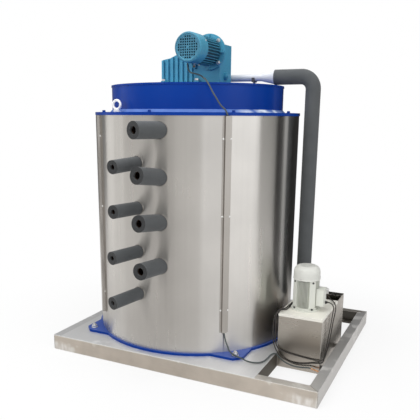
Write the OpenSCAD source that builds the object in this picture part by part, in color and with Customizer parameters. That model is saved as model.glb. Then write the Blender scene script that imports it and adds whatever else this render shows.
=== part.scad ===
// Drum type flake ice machine on a skid, with its water tank, pump and geared drive.

/* [Skid] */
// Length of the skid along X
skid_l = 1600; // [1590:10:1700]
// Depth of the skid along Y
skid_d = 1300; // [1260:10:1400]
// Height of the folded channel beams
beam_h = 86; // [76:1:96]
// Width of a beam's flanges
beam_w = 54; // [44:1:60]
// Sheet thickness of the beams
beam_t = 6; // [4:0.5:8]
// Thickness of the deck sheet
deck_t = 4; // [3:0.5:6]
// Deck left clear between the base flange and the open bay
bay_gap = 32; // [24:1:40]

/* [Drum] */
// Outer radius of the sheet jacket
jacket_r = 600; // [590:1:605]
// Sheet thickness of the jacket
jacket_t = 2; // [1:0.5:3]
// Height of the jacket
jacket_h = 1267; // [1240:1:1290]
// Thickness of the insulation behind the jacket
foam_t = 94; // [88:1:100]
// Wall thickness of the evaporator drum
drum_wall = 20; // [16:1:24]
// Height of the drum's bare neck above the top flange
neck_h = 141; // [120:1:160]
// Fillet between the neck and the top flange
neck_fillet = 16; // [10:1:20]
// Thickness of the cover plate
cover_t = 8; // [6:1:12]
// Thickness of the base flange
base_t = 14; // [10:1:18]
// Width of the base flange outside the jacket
base_lip = 12; // [6:1:18]
// Distance of the lug bolts outside the jacket
lug_reach = 60; // [50:1:70]
// Step from the drum's inner wall to the ice outlet
outlet_step = 54; // [50:1:66]
// Thickness of the top flange
flange_t = 16; // [12:1:20]
// Width of the top flange outside the jacket
flange_lip = 4; // [2:0.5:5]

/* [Seam strips] */
// Width of a strip
strip_w = 48; // [44:1:56]
// Depth of a strip's channel
strip_d = 16; // [15:0.5:20]
// Height of the strips' lower ends above the floor
strip_foot = 220; // [190:1:240]
// Angle of the strips from the front and from the back
strip_angle = 40.5; // [39:0.5:42]

/* [Refrigerant stubs] */
// Outer diameter of the sleeves of the suction stubs
big_sleeve_d = 88; // [80:1:100]
// Outer diameter of the sleeves of the liquid stubs
small_sleeve_d = 70; // [60:1:80]
// Outer diameter of the suction tubes
big_tube_d = 42; // [35:1:44]
// Outer diameter of the liquid tubes
small_tube_d = 28; // [22:1:30]
// Wall thickness of the copper tubes
tube_wall = 2; // [1:0.5:3]
// Length of the suction stubs outside the jacket
big_len = 175; // [160:1:190]
// Reach of the liquid stubs in front of the skid's middle
front_reach = 790; // [770:1:820]
// Turn of the stubs to the left
stub_yaw = 10; // [6:1:12]
// Height step from one stub to the next in a column
stub_step = 237; // [225:1:245]

/* [Rotor] */
// Diameter of the main shaft
shaft_d = 80; // [70:1:84]
// Outer diameter of the scraper roller
roller_d = 110; // [90:1:120]
// Gap between the scraper and the wall
scrape_gap = 2; // [1:0.5:4]
// Radial clearance of the running shafts
run_clear = 0.06; // [0.03:0.01:0.1]

/* [Drive] */
// Height of the motor's axis above the cover
motor_up = 180; // [176:1:190]
// Length of the motor in front of the reducer
motor_l = 280; // [260:1:300]
// Radius of the motor's cowl
cowl_r = 77; // [74:1:80]
// Length of the motor's cowl
cowl_l = 96; // [90:1:104]
// Radius of the motor's flange
motor_flange_r = 97; // [94:1:102]
// Number of fins on the motor
motor_fins = 30; // [24:1:36]
// Number of ribs on the reducer's side
reducer_ribs = 7; // [5:1:8]

/* [Water side] */
// Width of the tank along X
tank_w = 240; // [230:1:250]
// Clear width beside the tank for its leads
lead_gap = 30; // [28:1:36]
// Length of the tank along Y
tank_l = 532; // [510:1:560]
// Height of the tank
tank_h = 310; // [290:1:320]
// Sheet thickness of the tank
tank_t = 3; // [2:0.5:4]
// Depth of the lid's turned-down edge
lid_lip = 13; // [8:1:18]
// Radius of the pump's cowl
pump_r = 72.5; // [70:0.5:76]
// Height of the pump's finned frame
pump_frame_h = 168; // [155:1:180]
// Height of the pump's cowl
pump_cowl_h = 76; // [70:1:84]
// Number of fins on the pump's motor
pump_fins = 60; // [40:1:72]
// Outer diameter of the foam sleeve on the riser
riser_sleeve_d = 84; // [76:1:92]
// Outer diameter of the supply pipe
supply_d = 40; // [32:1:44]
// Height of the pipe run above the cover
supply_up = 50; // [48:1:56]

/* [Cables] */
// Diameter of the motor's cable
cable_d = 8; // [6:0.5:8.5]
// Diameter of the pump's and the level switch's leads
lead_d = 6; // [5:0.5:6.5]

/* [Hidden] */
round_fn = 64;
fine_fn = 32;
wide_fn = 720;
fit_gap = 0.15;

blue = [0.04, 0.16, 0.5];
teal = [0.22, 0.47, 0.6];
steel = [0.74, 0.74, 0.72];
copper = [0.72, 0.42, 0.25];
foam = [0.29, 0.3, 0.31];
pale = [0.8, 0.81, 0.78];
white = [0.93, 0.93, 0.92];
black = [0.07, 0.07, 0.07];

mid_y = (front_reach - skid_d / 2) / 2;
deck_top = beam_h + deck_t;
base_top = deck_top + base_t;
jacket_top = base_top + jacket_h;
flange_top = jacket_top + flange_t;
cover_under = flange_top + neck_h;
cover_top = cover_under + cover_t;
foam_r = jacket_r - jacket_t;
drum_r = foam_r - foam_t;
drum_in = drum_r - drum_wall;
base_r = jacket_r + base_lip;
flange_r = jacket_r + flange_lip;
cover_r = drum_r + 3;
outlet_r = drum_in - outlet_step;
lug_at = (jacket_r + lug_reach) / sqrt(2);
lug_edge = 45;
lug_half = lug_at + lug_edge;
shaft_r = shaft_d / 2;
tank_gap = 2;
bay_w = tank_gap + tank_w + lead_gap;
bay_left = skid_l / 2 - beam_w - bay_w;
drum_x = bay_left - bay_gap - base_r;

big_root = 72;
small_root = -59;
big_turns = [5, -1, -3, -5];
small_turns = [-2, -1, 4, 5.5];
big_tilts = [0.7, 6.9, 6.2, 2.8];
small_tilts = [-2.7, 0.9, -1.1, -3.8];
big_top = jacket_top - 73;
small_top = jacket_top - 243;
first_yaw = stub_yaw + small_turns[0];
small_len = (front_reach + stub_y(small_root) - small_sleeve_d / 2 * sin(first_yaw)) / cos(first_yaw);
tube_recess = 12;
tube_bore = 120;

roller_at = drum_in - scrape_gap - roller_d / 2;
lower_arm = base_top + 84;
upper_arm = jacket_top + 36;
arm_h = 40;
spider_z = base_top + 36;
spider_h = 34;
pan_floor = cover_under - 74;

// The reducer's sizes, from the drum's axis and the cover's top
gear_left = 187;
gear_right = 184;
gear_split = 43;
gear_front = 100;
gear_back = 64;
gear_foot = 16;
foot_edge = 6;
foot_front = 136;
foot_bolts = [-165, 50];
foot_bolt_y = -119;
foot_boss_h = 30;
rib_pitch = 31;
rib_w = 14;
rib_deep = 12;
oil_eye_r = 13;
motor_x = drum_x + gear_split + 80;
motor_z = cover_top + motor_up;
frame_r = cowl_r - 11;
cowl_from = gear_front + motor_l - cowl_l;
cowl_to = gear_front + motor_l;
box_out = cowl_r + 6;
box_deep = 42;
box_from = 128;
box_to = 212;
box_half = 38;
eye_out = motor_flange_r + oil_eye_r + 8;
gland_l = 20;

tank_left = bay_left + tank_gap;
tank_right = tank_left + tank_w;
tank_x = tank_left + tank_w / 2;
tank_front = -286;
tank_back = tank_front + tank_l;
tank_foot = beam_t;
tank_top = tank_foot + tank_h;
lid_t = 3;
lid_edge = 2;
lid_top = tank_top + lid_t;
lid_back = tank_back - 171;
pump_x = tank_x - 13;
pump_y = tank_front + 144;
pump_frame_z = lid_top + 8;
pump_cowl_z = pump_frame_z + pump_frame_h;
pump_shaft_r = 9;
pump_box_x = pump_x + pump_r - 8.5;
pump_box_z = lid_top + 33;
pump_box_w = 42;
pump_box_l = 58;
pump_box_h = 92;
pump_flange_r = pump_r + 7;
supply_r = supply_d / 2;
riser_x = tank_left + tank_t + 1 + supply_r;
riser_y = gear_back + foot_edge + 3 + supply_r;
riser_bend = 70;
supply_z = cover_top + supply_up;
supply_end = drum_x + 110;
sleeve_end = drum_x + 447;
return_z = base_top + 26;
return_r = 21;
switch_x = tank_x + 22;
switch_y = tank_back - 53;
valve_x = tank_x - 36;
valve_z = tank_top - 52;
pump_boss_at = -45;

// Cable points, each group from the place that holds the cable there
motor_exit = [motor_x - box_out - box_deep / 2, -(box_from + box_to) / 2, motor_z - box_half - gland_l];
lug = [drum_x + lug_at, -lug_at, base_top];
strip_lead = jacket_r + strip_d - 2.8 - cable_d / 2;
flange_lead = flange_r + cable_d / 2 + 2;
tank_corner = [tank_left, tank_front, tank_foot];
bend_y = (tank_front - lug_at - 67) / 2;
motor_route = concat(
  [for (p = [[0, 0, 0], [0, 0, -12], [4, -3, -28], [15, -12, -44], [36, -29, -56], [66, -51, -62]]) motor_exit + p],
  [for (p = [[140, -118, -80], [174, -160, -93], [200, -202, -101]]) motor_exit + p],
  [for (p = [[-14, 30.2, 17], [16, 30.8, 6], [38, 31.9, -14]]) by_drum(cover_r + p[0], p[1], cover_top + p[2])],
  [for (p = [[-41, -7.1, 103], [-23.5, -5.2, 68], [-9, -3.2, 33], [3.5, -1.4, 12]])
    by_drum(flange_r + p[0], strip_angle + p[1], flange_top + p[2])],
  [by_drum(flange_lead, strip_angle - 0.6, flange_top - 3)],
  [for (z = [jacket_top - 12, jacket_top - 40, (jacket_top + strip_foot) / 2, strip_foot + 40, strip_foot + 6])
    by_drum(strip_lead, strip_angle, z)],
  [by_drum(strip_lead + 3, strip_angle + 0.4, strip_foot - 26)],
  [for (p = [[-46, -6, 50], [-22, -20, 22], [10, -28, 11], [48, -31, 4], [84, -32, -5]]) lug + p],
  [[bay_left - 54, -lug_at - 26, deck_top + 7], [bay_left - 26, -lug_at - 6, deck_top + 7]],
  [[bay_left - 13, bend_y, deck_top + 7], [bay_left - 8, tank_front - 64, deck_top + 8]],
  [[bay_left + 5, tank_front - 39, deck_top + 4]],
  [for (p = [[20, -26, 66], [40, -19, 47], [69, -16, 33], [104, -16, 26]]) tank_corner + p],
  [for (p = [[144, -16, 27], [194, -17, 33], [238, -22, 26]]) tank_corner + p]
);
pump_exit = [pump_box_x + pump_box_w + 12, pump_y + 17, pump_box_z + 14];
pump_route = concat(
  [for (p = [[0, 0, 0], [10, 0, 0], [21, -0.3, -3], [31, -1.2, -11.5], [36.5, -2.5, -25]]) pump_exit + p],
  [for (p = [[20, 157, 306], [17, 149, 263], [14, 133, 209], [12, 106, 159], [12, 72, 117], [13, 42, 94]])
    tank_corner + [tank_w + p[0], p[1], p[2]]],
  [for (p = [[14, 18, 85], [10.5, 4.5, 82], [0.5, -5.5, 80], [-13, -9, 80]]) tank_corner + [tank_w + p[0], p[1], p[2]]],
  [for (p = [[200, -6, 80], [164, -5.5, 82], [114, -5.5, 86], [64, -5.5, 92], [32, -6, 99]]) tank_corner + p],
  [for (p = [[12, -8, 108], [-1, -11, 123], [-8, -13, 147], [-11, -14, 184], [-11, -14, 229]]) tank_corner + p],
  [for (p = [[-11, -13, -19], [-9, -10, -4], [-5, -3, 7], [2, 9, 13]]) [tank_left, tank_front, lid_top] + p],
  [for (p = [[10, 25, 12], [16, 42, 8], [21, 62, 5], [24, 92, 4]]) [tank_left, tank_front, lid_top] + p],
  [for (p = [[23, 144, 4], [27, 186, 4], [37, 220, 4], [56, 244, 4], [82, 256, 4]]) [tank_left, tank_front, lid_top] + p]
);
switch_exit = [switch_x, switch_y - 19, tank_top + 18];
edge_y = lid_back - 129;
corner_y = tank_front + 42;
level_route = concat(
  [for (p = [[0, 0, 0], [0, -9, 0], [4, -27, -1], [16, -53, -3], [36, -79, -5]]) switch_exit + p],
  [for (p = [[-39, -9, 7], [-15, -47, 8], [0, -78, 7], [10, -97, 0], [15, -113, -15], [15.5, -129, -40]])
    [tank_right + p[0], lid_back + p[1], lid_top + p[2]]],
  [for (p = [[0.1, 234], [0.3, 173], [0.56, 120], [0.84, 87], [1, 76]])
    [tank_right + 13, edge_y + p[0] * (corner_y - edge_y), tank_foot + p[1]]],
  [for (p = [[14, 18, 70], [10.5, 4.5, 68], [0.5, -5.5, 67], [-13, -9, 65]]) tank_corner + [tank_w + p[0], p[1], p[2]]],
  [for (p = [[200, -6, 59], [164, -5.5, 49], [124, -5.5, 42], [84, -5.5, 42]]) tank_corner + p],
  [for (p = [[48, -6.5, 51], [22, -10, 68]]) tank_corner + p],
  [for (p = [[3, -15, 92], [-11, -19, 122], [-19, -21, 159], [-23, -20.5, 220]]) tank_corner + p],
  [for (p = [[-21, -15, -32], [-17, -6, -10], [-10, 9, 6], [-2, 27, 12]]) [tank_left, tank_front, lid_top] + p],
  [for (p = [[5, 48, 10], [10, 76, 5], [12, 118, 4], [14, 172, 4], [19, 212, 4], [32, 244, 4]])
    [tank_left, tank_front, lid_top] + p]
);

function beside_boss(a) = abs((a - pump_boss_at + 45) % 90 - 45);

function by_drum(r, a, z) = [drum_x + r * sin(a), -r * cos(a), z];

function ring_at(route, i, r, k) =
  let (
    here = route[i],
    before = route[max(i - 1, 0)],
    after = route[min(i + 1, len(route) - 1)],
    along = (after - before) / norm(after - before),
    side_raw = cross(along, [1, -1, 1]),
    side = side_raw / norm(side_raw),
    up = cross(side, along)
  )
  [for (j = [0 : k - 1]) here + r * cos(360 * j / k) * side + r * sin(360 * j / k) * up];

function stub_y(root) = -sqrt(pow(jacket_r, 2) - pow(root, 2));
function stub_back(root, yaw) =
  let (
    along = -root * sin(yaw) - stub_y(root) * cos(yaw),
    short = pow(jacket_r, 2) - pow(drum_r - drum_wall / 2, 2)
  )
  along - sqrt(along * along - short);

module at_skid() translate([0, mid_y, 0]) children();

module at_drum() translate([drum_x, mid_y, 0]) children();

module tube_ring(r_in, r_out, low, high) {
  rotate_extrude($fn = round_fn) translate([r_in, low]) square([r_out - r_in, high - low]);
}

// Moves children to a stub, with +Z along the stub and 0 on the jacket
module at_stub(root, z, tilt, yaw) {
  translate([root, stub_y(root), z]) rotate([0, 0, -yaw]) rotate([90 - tilt, 0, 0]) children();
}

module at_big_stubs() {
  for (i = [0 : 3]) at_stub(big_root, big_top - i * stub_step, big_tilts[i], stub_yaw + big_turns[i]) children();
}

module at_small_stubs() {
  for (i = [0 : 3]) at_stub(small_root, small_top - i * stub_step, small_tilts[i], stub_yaw + small_turns[i]) children();
}

module stub_holes() {
  at_big_stubs() translate([0, 0, -stub_back(big_root, stub_yaw)])
    cylinder(d = big_tube_d + 2 * fit_gap, h = 200, $fn = fine_fn);
  at_small_stubs() translate([0, 0, -stub_back(small_root, stub_yaw)])
    cylinder(d = small_tube_d + 2 * fit_gap, h = 200, $fn = fine_fn);
}

module return_hole() {
  translate([drum_in - 30, 0, return_z]) rotate([0, 90, 0]) cylinder(r = return_r + fit_gap, h = 190, $fn = fine_fn);
}

// One mitred channel of a given length, its web along the front
module channel(length) {
  difference() {
    linear_extrude(beam_h) polygon([
      [-length / 2, 0], [length / 2, 0], [length / 2 - beam_w, beam_w], [-length / 2 + beam_w, beam_w]
    ]);
    translate([-length, beam_t, beam_t]) cube([2 * length, beam_w, beam_h - 2 * beam_t]);
  }
}

module front_beam() color(steel) at_skid() translate([0, -skid_d / 2, 0]) channel(skid_l);

module rear_beam() color(steel) at_skid() rotate([0, 0, 180]) translate([0, -skid_d / 2, 0]) channel(skid_l);

module left_beam() color(steel) at_skid() rotate([0, 0, -90]) translate([0, -skid_l / 2, 0]) channel(skid_d);

module right_beam() color(steel) at_skid() rotate([0, 0, 90]) translate([0, -skid_l / 2, 0]) channel(skid_d);

module cross_beam() color(steel) at_skid() {
  run = skid_d - 2 * beam_w;
  translate([bay_left - beam_w, -run / 2, 0]) difference() {
    cube([beam_w, run, beam_h]);
    translate([-1, -1, beam_t]) cube([beam_w + 1 - beam_t, run + 2, beam_h - 2 * beam_t]);
  }
}

module at_lugs() {
  for (sx = [-1, 1], sy = [-1, 1]) translate([sx * lug_at, sy * lug_at, 0]) children();
}

module deck_plate() color(steel) difference() {
  at_skid() translate([-skid_l / 2, -skid_d / 2, beam_h]) cube([skid_l / 2 + bay_left, skid_d, deck_t]);
  at_drum() cylinder(r = outlet_r + 15, h = 2 * beam_h, $fn = round_fn);
  at_drum() at_lugs() cylinder(r = 11, h = 2 * beam_h, $fn = fine_fn);
}

module tank_bars() color(steel) at_skid() {
  for (y = [tank_front + 86, tank_back - 86]) translate([bay_left, y - 30, 0]) cube([bay_w, 60, tank_foot]);
}

module base_flange() color(blue) at_drum() translate([0, 0, deck_top]) difference() {
  cut = 42;
  union() {
    cylinder(r = base_r, h = base_t, $fn = round_fn);
    linear_extrude(base_t) polygon([
      [-lug_half, -lug_half + cut], [-lug_half + cut, -lug_half], [lug_half - cut, -lug_half], [lug_half, -lug_half + cut],
      [lug_half, lug_half - cut], [lug_half - cut, lug_half], [-lug_half + cut, lug_half], [-lug_half, lug_half - cut]
    ]);
  }
  translate([0, 0, -1]) cylinder(r = outlet_r, h = base_t + 2, $fn = round_fn);
  translate([0, 0, -1]) at_lugs() cylinder(r = 11, h = base_t + 2, $fn = fine_fn);
}

module lug_bolts() color(steel) at_drum() at_lugs() translate([0, 0, base_top]) {
  cylinder(r = 19, h = 3, $fn = fine_fn);
  cylinder(r = 16, h = 16, $fn = 6);
  translate([0, 0, -base_t - deck_t]) cylinder(r = 10, h = base_t + deck_t + 24, $fn = fine_fn);
}

module evaporator_drum() color(blue) at_drum() difference() {
  tube_ring(drum_in, drum_r, base_top, cover_under);
  stub_holes();
  return_hole();
}

module foam_insulation() color([0.85, 0.8, 0.6]) at_drum() difference() {
  tube_ring(drum_r, foam_r, base_top, jacket_top);
  stub_holes();
  return_hole();
}

// One curved sheet between two angles from the front, towards the right
module panel(from, to) {
  rotate([0, 0, from - 90]) rotate_extrude(angle = to - from, $fn = wide_fn)
    translate([foam_r, base_top]) square([jacket_t, jacket_h]);
}

module front_panel() color(steel) at_drum() difference() {
  panel(-strip_angle, strip_angle);
  stub_holes();
}

module right_panel() color(steel) at_drum() difference() {
  panel(strip_angle, 180 - strip_angle);
  return_hole();
}

module rear_panel() color(steel) at_drum() panel(180 - strip_angle, 180 + strip_angle);

module left_panel() color(steel) at_drum() panel(180 + strip_angle, 360 - strip_angle);

module at_strips() {
  for (a = [strip_angle, 180 - strip_angle, 180 + strip_angle, -strip_angle]) rotate([0, 0, a]) children();
}

module seam_strips() color(steel) at_drum() {
  half = strip_w / 2;
  mid = half - 9;
  at_strips() difference() {
    translate([0, -jacket_r, strip_foot]) linear_extrude(jacket_top - 2 - strip_foot) polygon([
      [-half, 3], [-half, -2], [-mid, -2], [-mid + 2, -strip_d], [mid - 2, -strip_d], [mid, -2], [half, -2], [half, 3],
      [mid - 2, 3], [mid - 2, -2], [mid - 4, -strip_d + 1.5], [-mid + 4, -strip_d + 1.5], [-mid + 2, -2], [-mid + 2, 3]
    ]);
    cylinder(r = jacket_r, h = 2 * jacket_top, $fn = wide_fn);
  }
}

module strip_screws() color(steel) at_drum() {
  at_strips() for (z = [0.13, 0.57, 0.91], s = [-1, 1])
    translate([s * (strip_w / 2 - 4.5), -jacket_r - 2, base_top + z * jacket_h + 100 * (0.91 - z)])
      rotate([90, 0, 0]) cylinder(r1 = 4.2, r2 = 3, h = 3, $fn = fine_fn);
}

// The top flange, with the sloping weld that joins it to the neck
module top_flange() color(blue) at_drum() rotate_extrude($fn = round_fn) polygon([
  [drum_r, jacket_top], [flange_r, jacket_top], [flange_r, flange_top], [drum_r + neck_fillet, flange_top],
  [drum_r, flange_top + neck_fillet]
]);

module flange_bolts() color(steel) at_drum() {
  for (i = [0 : 7]) rotate([0, 0, 45 * i]) translate([0, -jacket_r + 38, flange_top]) {
    cylinder(r = 11, h = 2.5, $fn = fine_fn);
    cylinder(r = 9, h = 11, $fn = 6);
  }
}

module lifting_eyes() color(blue) at_drum() {
  for (a = [-25.8, 154.2]) rotate([0, 0, a]) translate([0, -jacket_r + 46, flange_top]) {
    cylinder(r = 18, h = 12, $fn = fine_fn);
    translate([0, 0, 38]) rotate([0, 0, -a]) rotate([90, 0, 0]) rotate_extrude($fn = fine_fn)
      translate([23, 0]) circle(r = 7, $fn = 24);
  }
}

module top_cover() color(blue) at_drum() difference() {
  translate([0, 0, cover_under]) cylinder(r = cover_r, h = cover_t, $fn = round_fn);
  cylinder(r = shaft_r + 8, h = 2 * cover_top, $fn = round_fn);
  translate([supply_end - drum_x, riser_y, 0]) cylinder(r = supply_r + fit_gap, h = 2 * cover_top, $fn = fine_fn);
}

module stub_tube(od, back, length) {
  difference() {
    translate([0, 0, -back]) cylinder(d = od, h = back + length - tube_recess, $fn = fine_fn);
    translate([0, 0, length - tube_recess - tube_bore]) cylinder(d = od - 2 * tube_wall, h = 2 * tube_bore, $fn = fine_fn);
  }
}

module suction_tubes() color(copper) at_drum() at_big_stubs() stub_tube(big_tube_d, stub_back(big_root, stub_yaw), big_len);

module liquid_tubes() color(copper) at_drum() at_small_stubs()
  stub_tube(small_tube_d, stub_back(small_root, stub_yaw), small_len);

module stub_sleeve(od, bore, length) {
  difference() {
    translate([0, 0, -60]) cylinder(d = od, h = length + 60, $fn = round_fn);
    translate([0, 0, -70]) cylinder(d = bore + 2 * fit_gap, h = length + 90, $fn = fine_fn);
  }
}

module suction_sleeves() color(foam) at_drum() difference() {
  at_big_stubs() stub_sleeve(big_sleeve_d, big_tube_d, big_len);
  cylinder(r = jacket_r, h = 2 * jacket_top, $fn = wide_fn);
}

module liquid_sleeves() color(foam) at_drum() difference() {
  at_small_stubs() stub_sleeve(small_sleeve_d, small_tube_d, small_len);
  cylinder(r = jacket_r, h = 2 * jacket_top, $fn = wide_fn);
}

module water_gutter() color(steel) at_drum() rotate_extrude($fn = round_fn) polygon([
  [outlet_r + 3, base_top], [drum_in - 0.5, base_top], [drum_in - 0.5, base_top + 3], [outlet_r + 6, base_top + 3],
  [outlet_r + 6, base_top + 30], [outlet_r + 3, base_top + 30]
]);

module return_pipe() color(white) at_drum() {
  start = drum_in - 4;
  wall = tank_left - drum_x;
  difference() {
    union() {
      translate([start, 0, return_z]) rotate([0, 90, 0]) cylinder(r = return_r, h = wall + 8 - start, $fn = fine_fn);
      translate([wall - 6, 0, return_z]) rotate([0, 90, 0]) cylinder(r = return_r + 9, h = 6, $fn = fine_fn);
    }
    translate([start - 1, 0, return_z]) rotate([0, 90, 0]) cylinder(r = return_r - 3, h = wall, $fn = fine_fn);
  }
}

module bottom_spider() color(steel) at_drum() difference() {
  union() {
    translate([0, 0, spider_z - 16]) cylinder(r = shaft_r + 38, h = spider_h + 16, $fn = round_fn);
    for (a = [60, 180, 300]) rotate([0, 0, a]) {
      translate([shaft_r + 20, -15, spider_z]) cube([drum_in - 14 - shaft_r - 20, 30, spider_h]);
      translate([outlet_r + 10, -15, base_top + 3]) cube([drum_in - 24 - outlet_r, 30, spider_z + spider_h - base_top - 3]);
    }
  }
  translate([0, 0, spider_z - 6]) cylinder(r = shaft_r + 15, h = spider_h + 10, $fn = round_fn);
}

module lower_bearing() color(copper) at_drum()
  tube_ring(shaft_r + run_clear, shaft_r + 15, spider_z - 6, spider_z + spider_h);

module upper_bearing() color(steel) at_drum() tube_ring(shaft_r + run_clear, shaft_r + 34, cover_under - 26, cover_under);

module main_shaft() color(steel) at_drum() translate([0, 0, spider_z - 4])
  cylinder(r = shaft_r, h = cover_top + 110 - spider_z, $fn = round_fn);

module scraper_carrier() color(steel) at_drum() difference() {
  union() for (z = [lower_arm, upper_arm]) translate([0, 0, z]) {
    cylinder(r = shaft_r + 26, h = arm_h, $fn = round_fn);
    translate([-26, 0, 0]) cube([52, roller_at, arm_h]);
    translate([0, roller_at, 0]) cylinder(r = 26, h = arm_h, $fn = fine_fn);
    translate([0, -20, 0]) cube([drum_in - 14, 40, arm_h]);
  }
  translate([0, 0, lower_arm - 1]) cylinder(r = shaft_r, h = upper_arm - lower_arm + arm_h + 2, $fn = round_fn);
  translate([0, roller_at, lower_arm + 8]) cylinder(r = 15 + run_clear, h = arm_h, $fn = fine_fn);
  translate([0, roller_at, upper_arm - 8]) cylinder(r = 15 + run_clear, h = arm_h, $fn = fine_fn);
}

module scraper_roller() color(steel) at_drum() translate([0, roller_at, 0]) {
  low = lower_arm + arm_h + 1;
  high = upper_arm - 1;
  teeth = 30;
  pitch = (high - low) / teeth;
  core = roller_d / 2 - 14;
  rotate_extrude($fn = round_fn) polygon(concat(
    [[0, lower_arm + 9], [15, lower_arm + 9], [15, low], [core, low]],
    [for (i = [0 : teeth - 1], p = [[core, 0.1], [roller_d / 2, 0.45], [roller_d / 2, 0.55], [core, 0.9]])
      [p[0], low + (i + p[1]) * pitch]],
    [[core, high], [15, high], [15, upper_arm + arm_h - 9], [0, upper_arm + arm_h - 9]]
  ));
}

module water_pan() color(steel) at_drum() difference() {
  union() {
    rotate_extrude($fn = round_fn) polygon([
      [shaft_r, pan_floor - 6], [200, pan_floor - 6], [200, pan_floor + 30], [196, pan_floor + 30], [196, pan_floor],
      [shaft_r + 12, pan_floor], [shaft_r + 12, pan_floor + 40], [shaft_r, pan_floor + 40]
    ]);
    for (i = [0 : 5]) rotate([0, 0, 30 + 60 * i]) translate([198, 0, pan_floor + 8]) rotate([0, 90, 0])
      cylinder(r = 7, h = drum_in - 12 - 198, $fn = 16);
  }
  for (i = [0 : 5]) rotate([0, 0, 30 + 60 * i]) translate([190, 0, pan_floor + 8]) rotate([0, 90, 0])
    cylinder(r = 5, h = drum_in, $fn = 16);
}

module squeegee() color(black) at_drum() translate([drum_in - 44, -4, lower_arm + arm_h])
  cube([42, 8, upper_arm - lower_arm - arm_h]);

// The ribbed worm case with its foot, and at its right the block that carries the motor
module reducer_housing() color(teal) at_drum() difference() {
  case_top = motor_z - 3;
  union() {
    translate([-gear_left - foot_edge, -gear_front, cover_top])
      cube([gear_left + gear_right + 2 * foot_edge, gear_front + gear_back + foot_edge, gear_foot]);
    translate([-gear_left - foot_edge, -foot_front, cover_top])
      cube([gear_left + gear_split + 20 + foot_edge, foot_front - gear_front + 4, gear_foot]);
    translate([0, gear_back, cover_top + gear_foot]) rotate([90, 0, 0])
      linear_extrude(gear_back + gear_front - rib_deep + 2) gear_outline(0);
    intersection() {
      translate([0, gear_back + rib_deep, cover_top + gear_foot]) rotate([90, 0, 0])
        linear_extrude(gear_back + gear_front + rib_deep + 2) gear_outline(4);
      union() for (i = [0 : reducer_ribs - 1]) translate([-gear_left + rib_pitch * i, -2 * gear_front, cover_top])
        cube([rib_w, 4 * gear_front, 2 * motor_up]);
    }
    translate([gear_split, -gear_front, cover_top + gear_foot])
      cube([gear_right - gear_split, gear_front + gear_back, motor_up + 30]);
    translate([0, 0, case_top - 10]) cylinder(r = gear_back - 2, h = 24, $fn = round_fn);
    translate([gear_right - 10, -23, cover_top + 55]) rotate([0, 90, 0]) cylinder(r = 22, h = 24, $fn = fine_fn);
    translate([motor_x - drum_x - eye_out * cos(38), -gear_front - 6, motor_z - eye_out * sin(38)]) rotate([-90, 0, 0])
      cylinder(r = oil_eye_r, h = 20, $fn = fine_fn);
    for (x = foot_bolts) translate([x, foot_bolt_y, cover_top]) cylinder(r = 16, h = foot_boss_h, $fn = fine_fn);
  }
  translate([0, 0, cover_top - 1]) cylinder(r = shaft_r + run_clear, h = 115, $fn = round_fn);
}

// Outline of the worm case seen from the front, lowered by a given step
module gear_outline(drop) polygon([
  [-gear_left, 0], [-gear_left, motor_up - 46 - drop], [-gear_left + 54, motor_up - 37 - drop],
  [-gear_left + 85, motor_up - 23 - drop], [-gear_left + 100, motor_up - 19 - drop], [gear_split, motor_up - 19 - drop],
  [gear_split, 0]
]);

module drive_bolts() color(steel) {
  at_skid() for (a = [45 : 90 : 315]) translate([motor_x, -gear_front - 15, motor_z]) rotate([0, a, 0])
    translate([motor_flange_r - 15, 0, 0]) rotate([90, 0, 0]) cylinder(r = 9, h = 9, $fn = 6);
  at_drum() for (x = foot_bolts) translate([x, foot_bolt_y, cover_top + foot_boss_h]) cylinder(r = 11, h = 10, $fn = 6);
}

module at_motor() at_skid() translate([motor_x, 0, motor_z]) rotate([90, 0, 0]) children();

module motor_frame() color(teal) at_motor() difference() {
  union() {
    translate([0, 0, gear_front]) cylinder(r = motor_flange_r, h = 15, $fn = round_fn);
    translate([0, 0, gear_front]) cylinder(r = frame_r, h = cowl_from + 24 - gear_front, $fn = round_fn);
    for (i = [0 : motor_fins - 1]) rotate([0, 0, 360 * i / motor_fins])
      translate([frame_r - 6, -1.5, box_from]) cube([cowl_r - frame_r + 4.5, 3, cowl_from - box_from]);
    for (a = [0 : 90 : 270]) rotate([0, 0, a]) translate([frame_r - 16, -7, gear_front + 10])
      cube([motor_flange_r - frame_r + 12, 14, 16]);
    translate([-box_out, -30, box_from + 2]) cube([40, 60, box_to - box_from - 4]);
  }
  translate([0, 0, cowl_from - 22]) cylinder(r = 12 + run_clear, h = 60, $fn = fine_fn);
}

module motor_cowl() color(teal) at_motor() difference() {
  pitch = (cowl_r - 16) / 4.7;
  rotate_extrude($fn = round_fn) polygon([
    [cowl_r - 3, cowl_from], [cowl_r, cowl_from], [cowl_r, cowl_to - 10], [cowl_r - 3, cowl_to - 3], [cowl_r - 9, cowl_to],
    [cowl_r - 14, cowl_to - 2], [cowl_r - 16, cowl_to - 4], [0, cowl_to - 4], [0, cowl_to - 7], [cowl_r - 9, cowl_to - 7],
    [cowl_r - 3, cowl_to - 12]
  ]);
  for (i = [-4 : 4], j = [-4 : 4]) if (i * i + j * j < 20 && i * i + j * j > 0)
    translate([pitch * i - 4, pitch * j - 4, cowl_to - 20]) cube([8, 8, 30]);
}

module motor_fan() color(black) at_motor() {
  translate([0, 0, cowl_from - 20]) cylinder(r = 12, h = cowl_l - 2, $fn = fine_fn);
  translate([0, 0, cowl_from + 34]) cylinder(r = cowl_r - 17, h = 4, $fn = round_fn);
  for (i = [0 : 6]) rotate([0, 0, 360 * i / 7]) translate([8, -1.5, cowl_from + 36]) cube([cowl_r - 23, 3, 32]);
}

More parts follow.
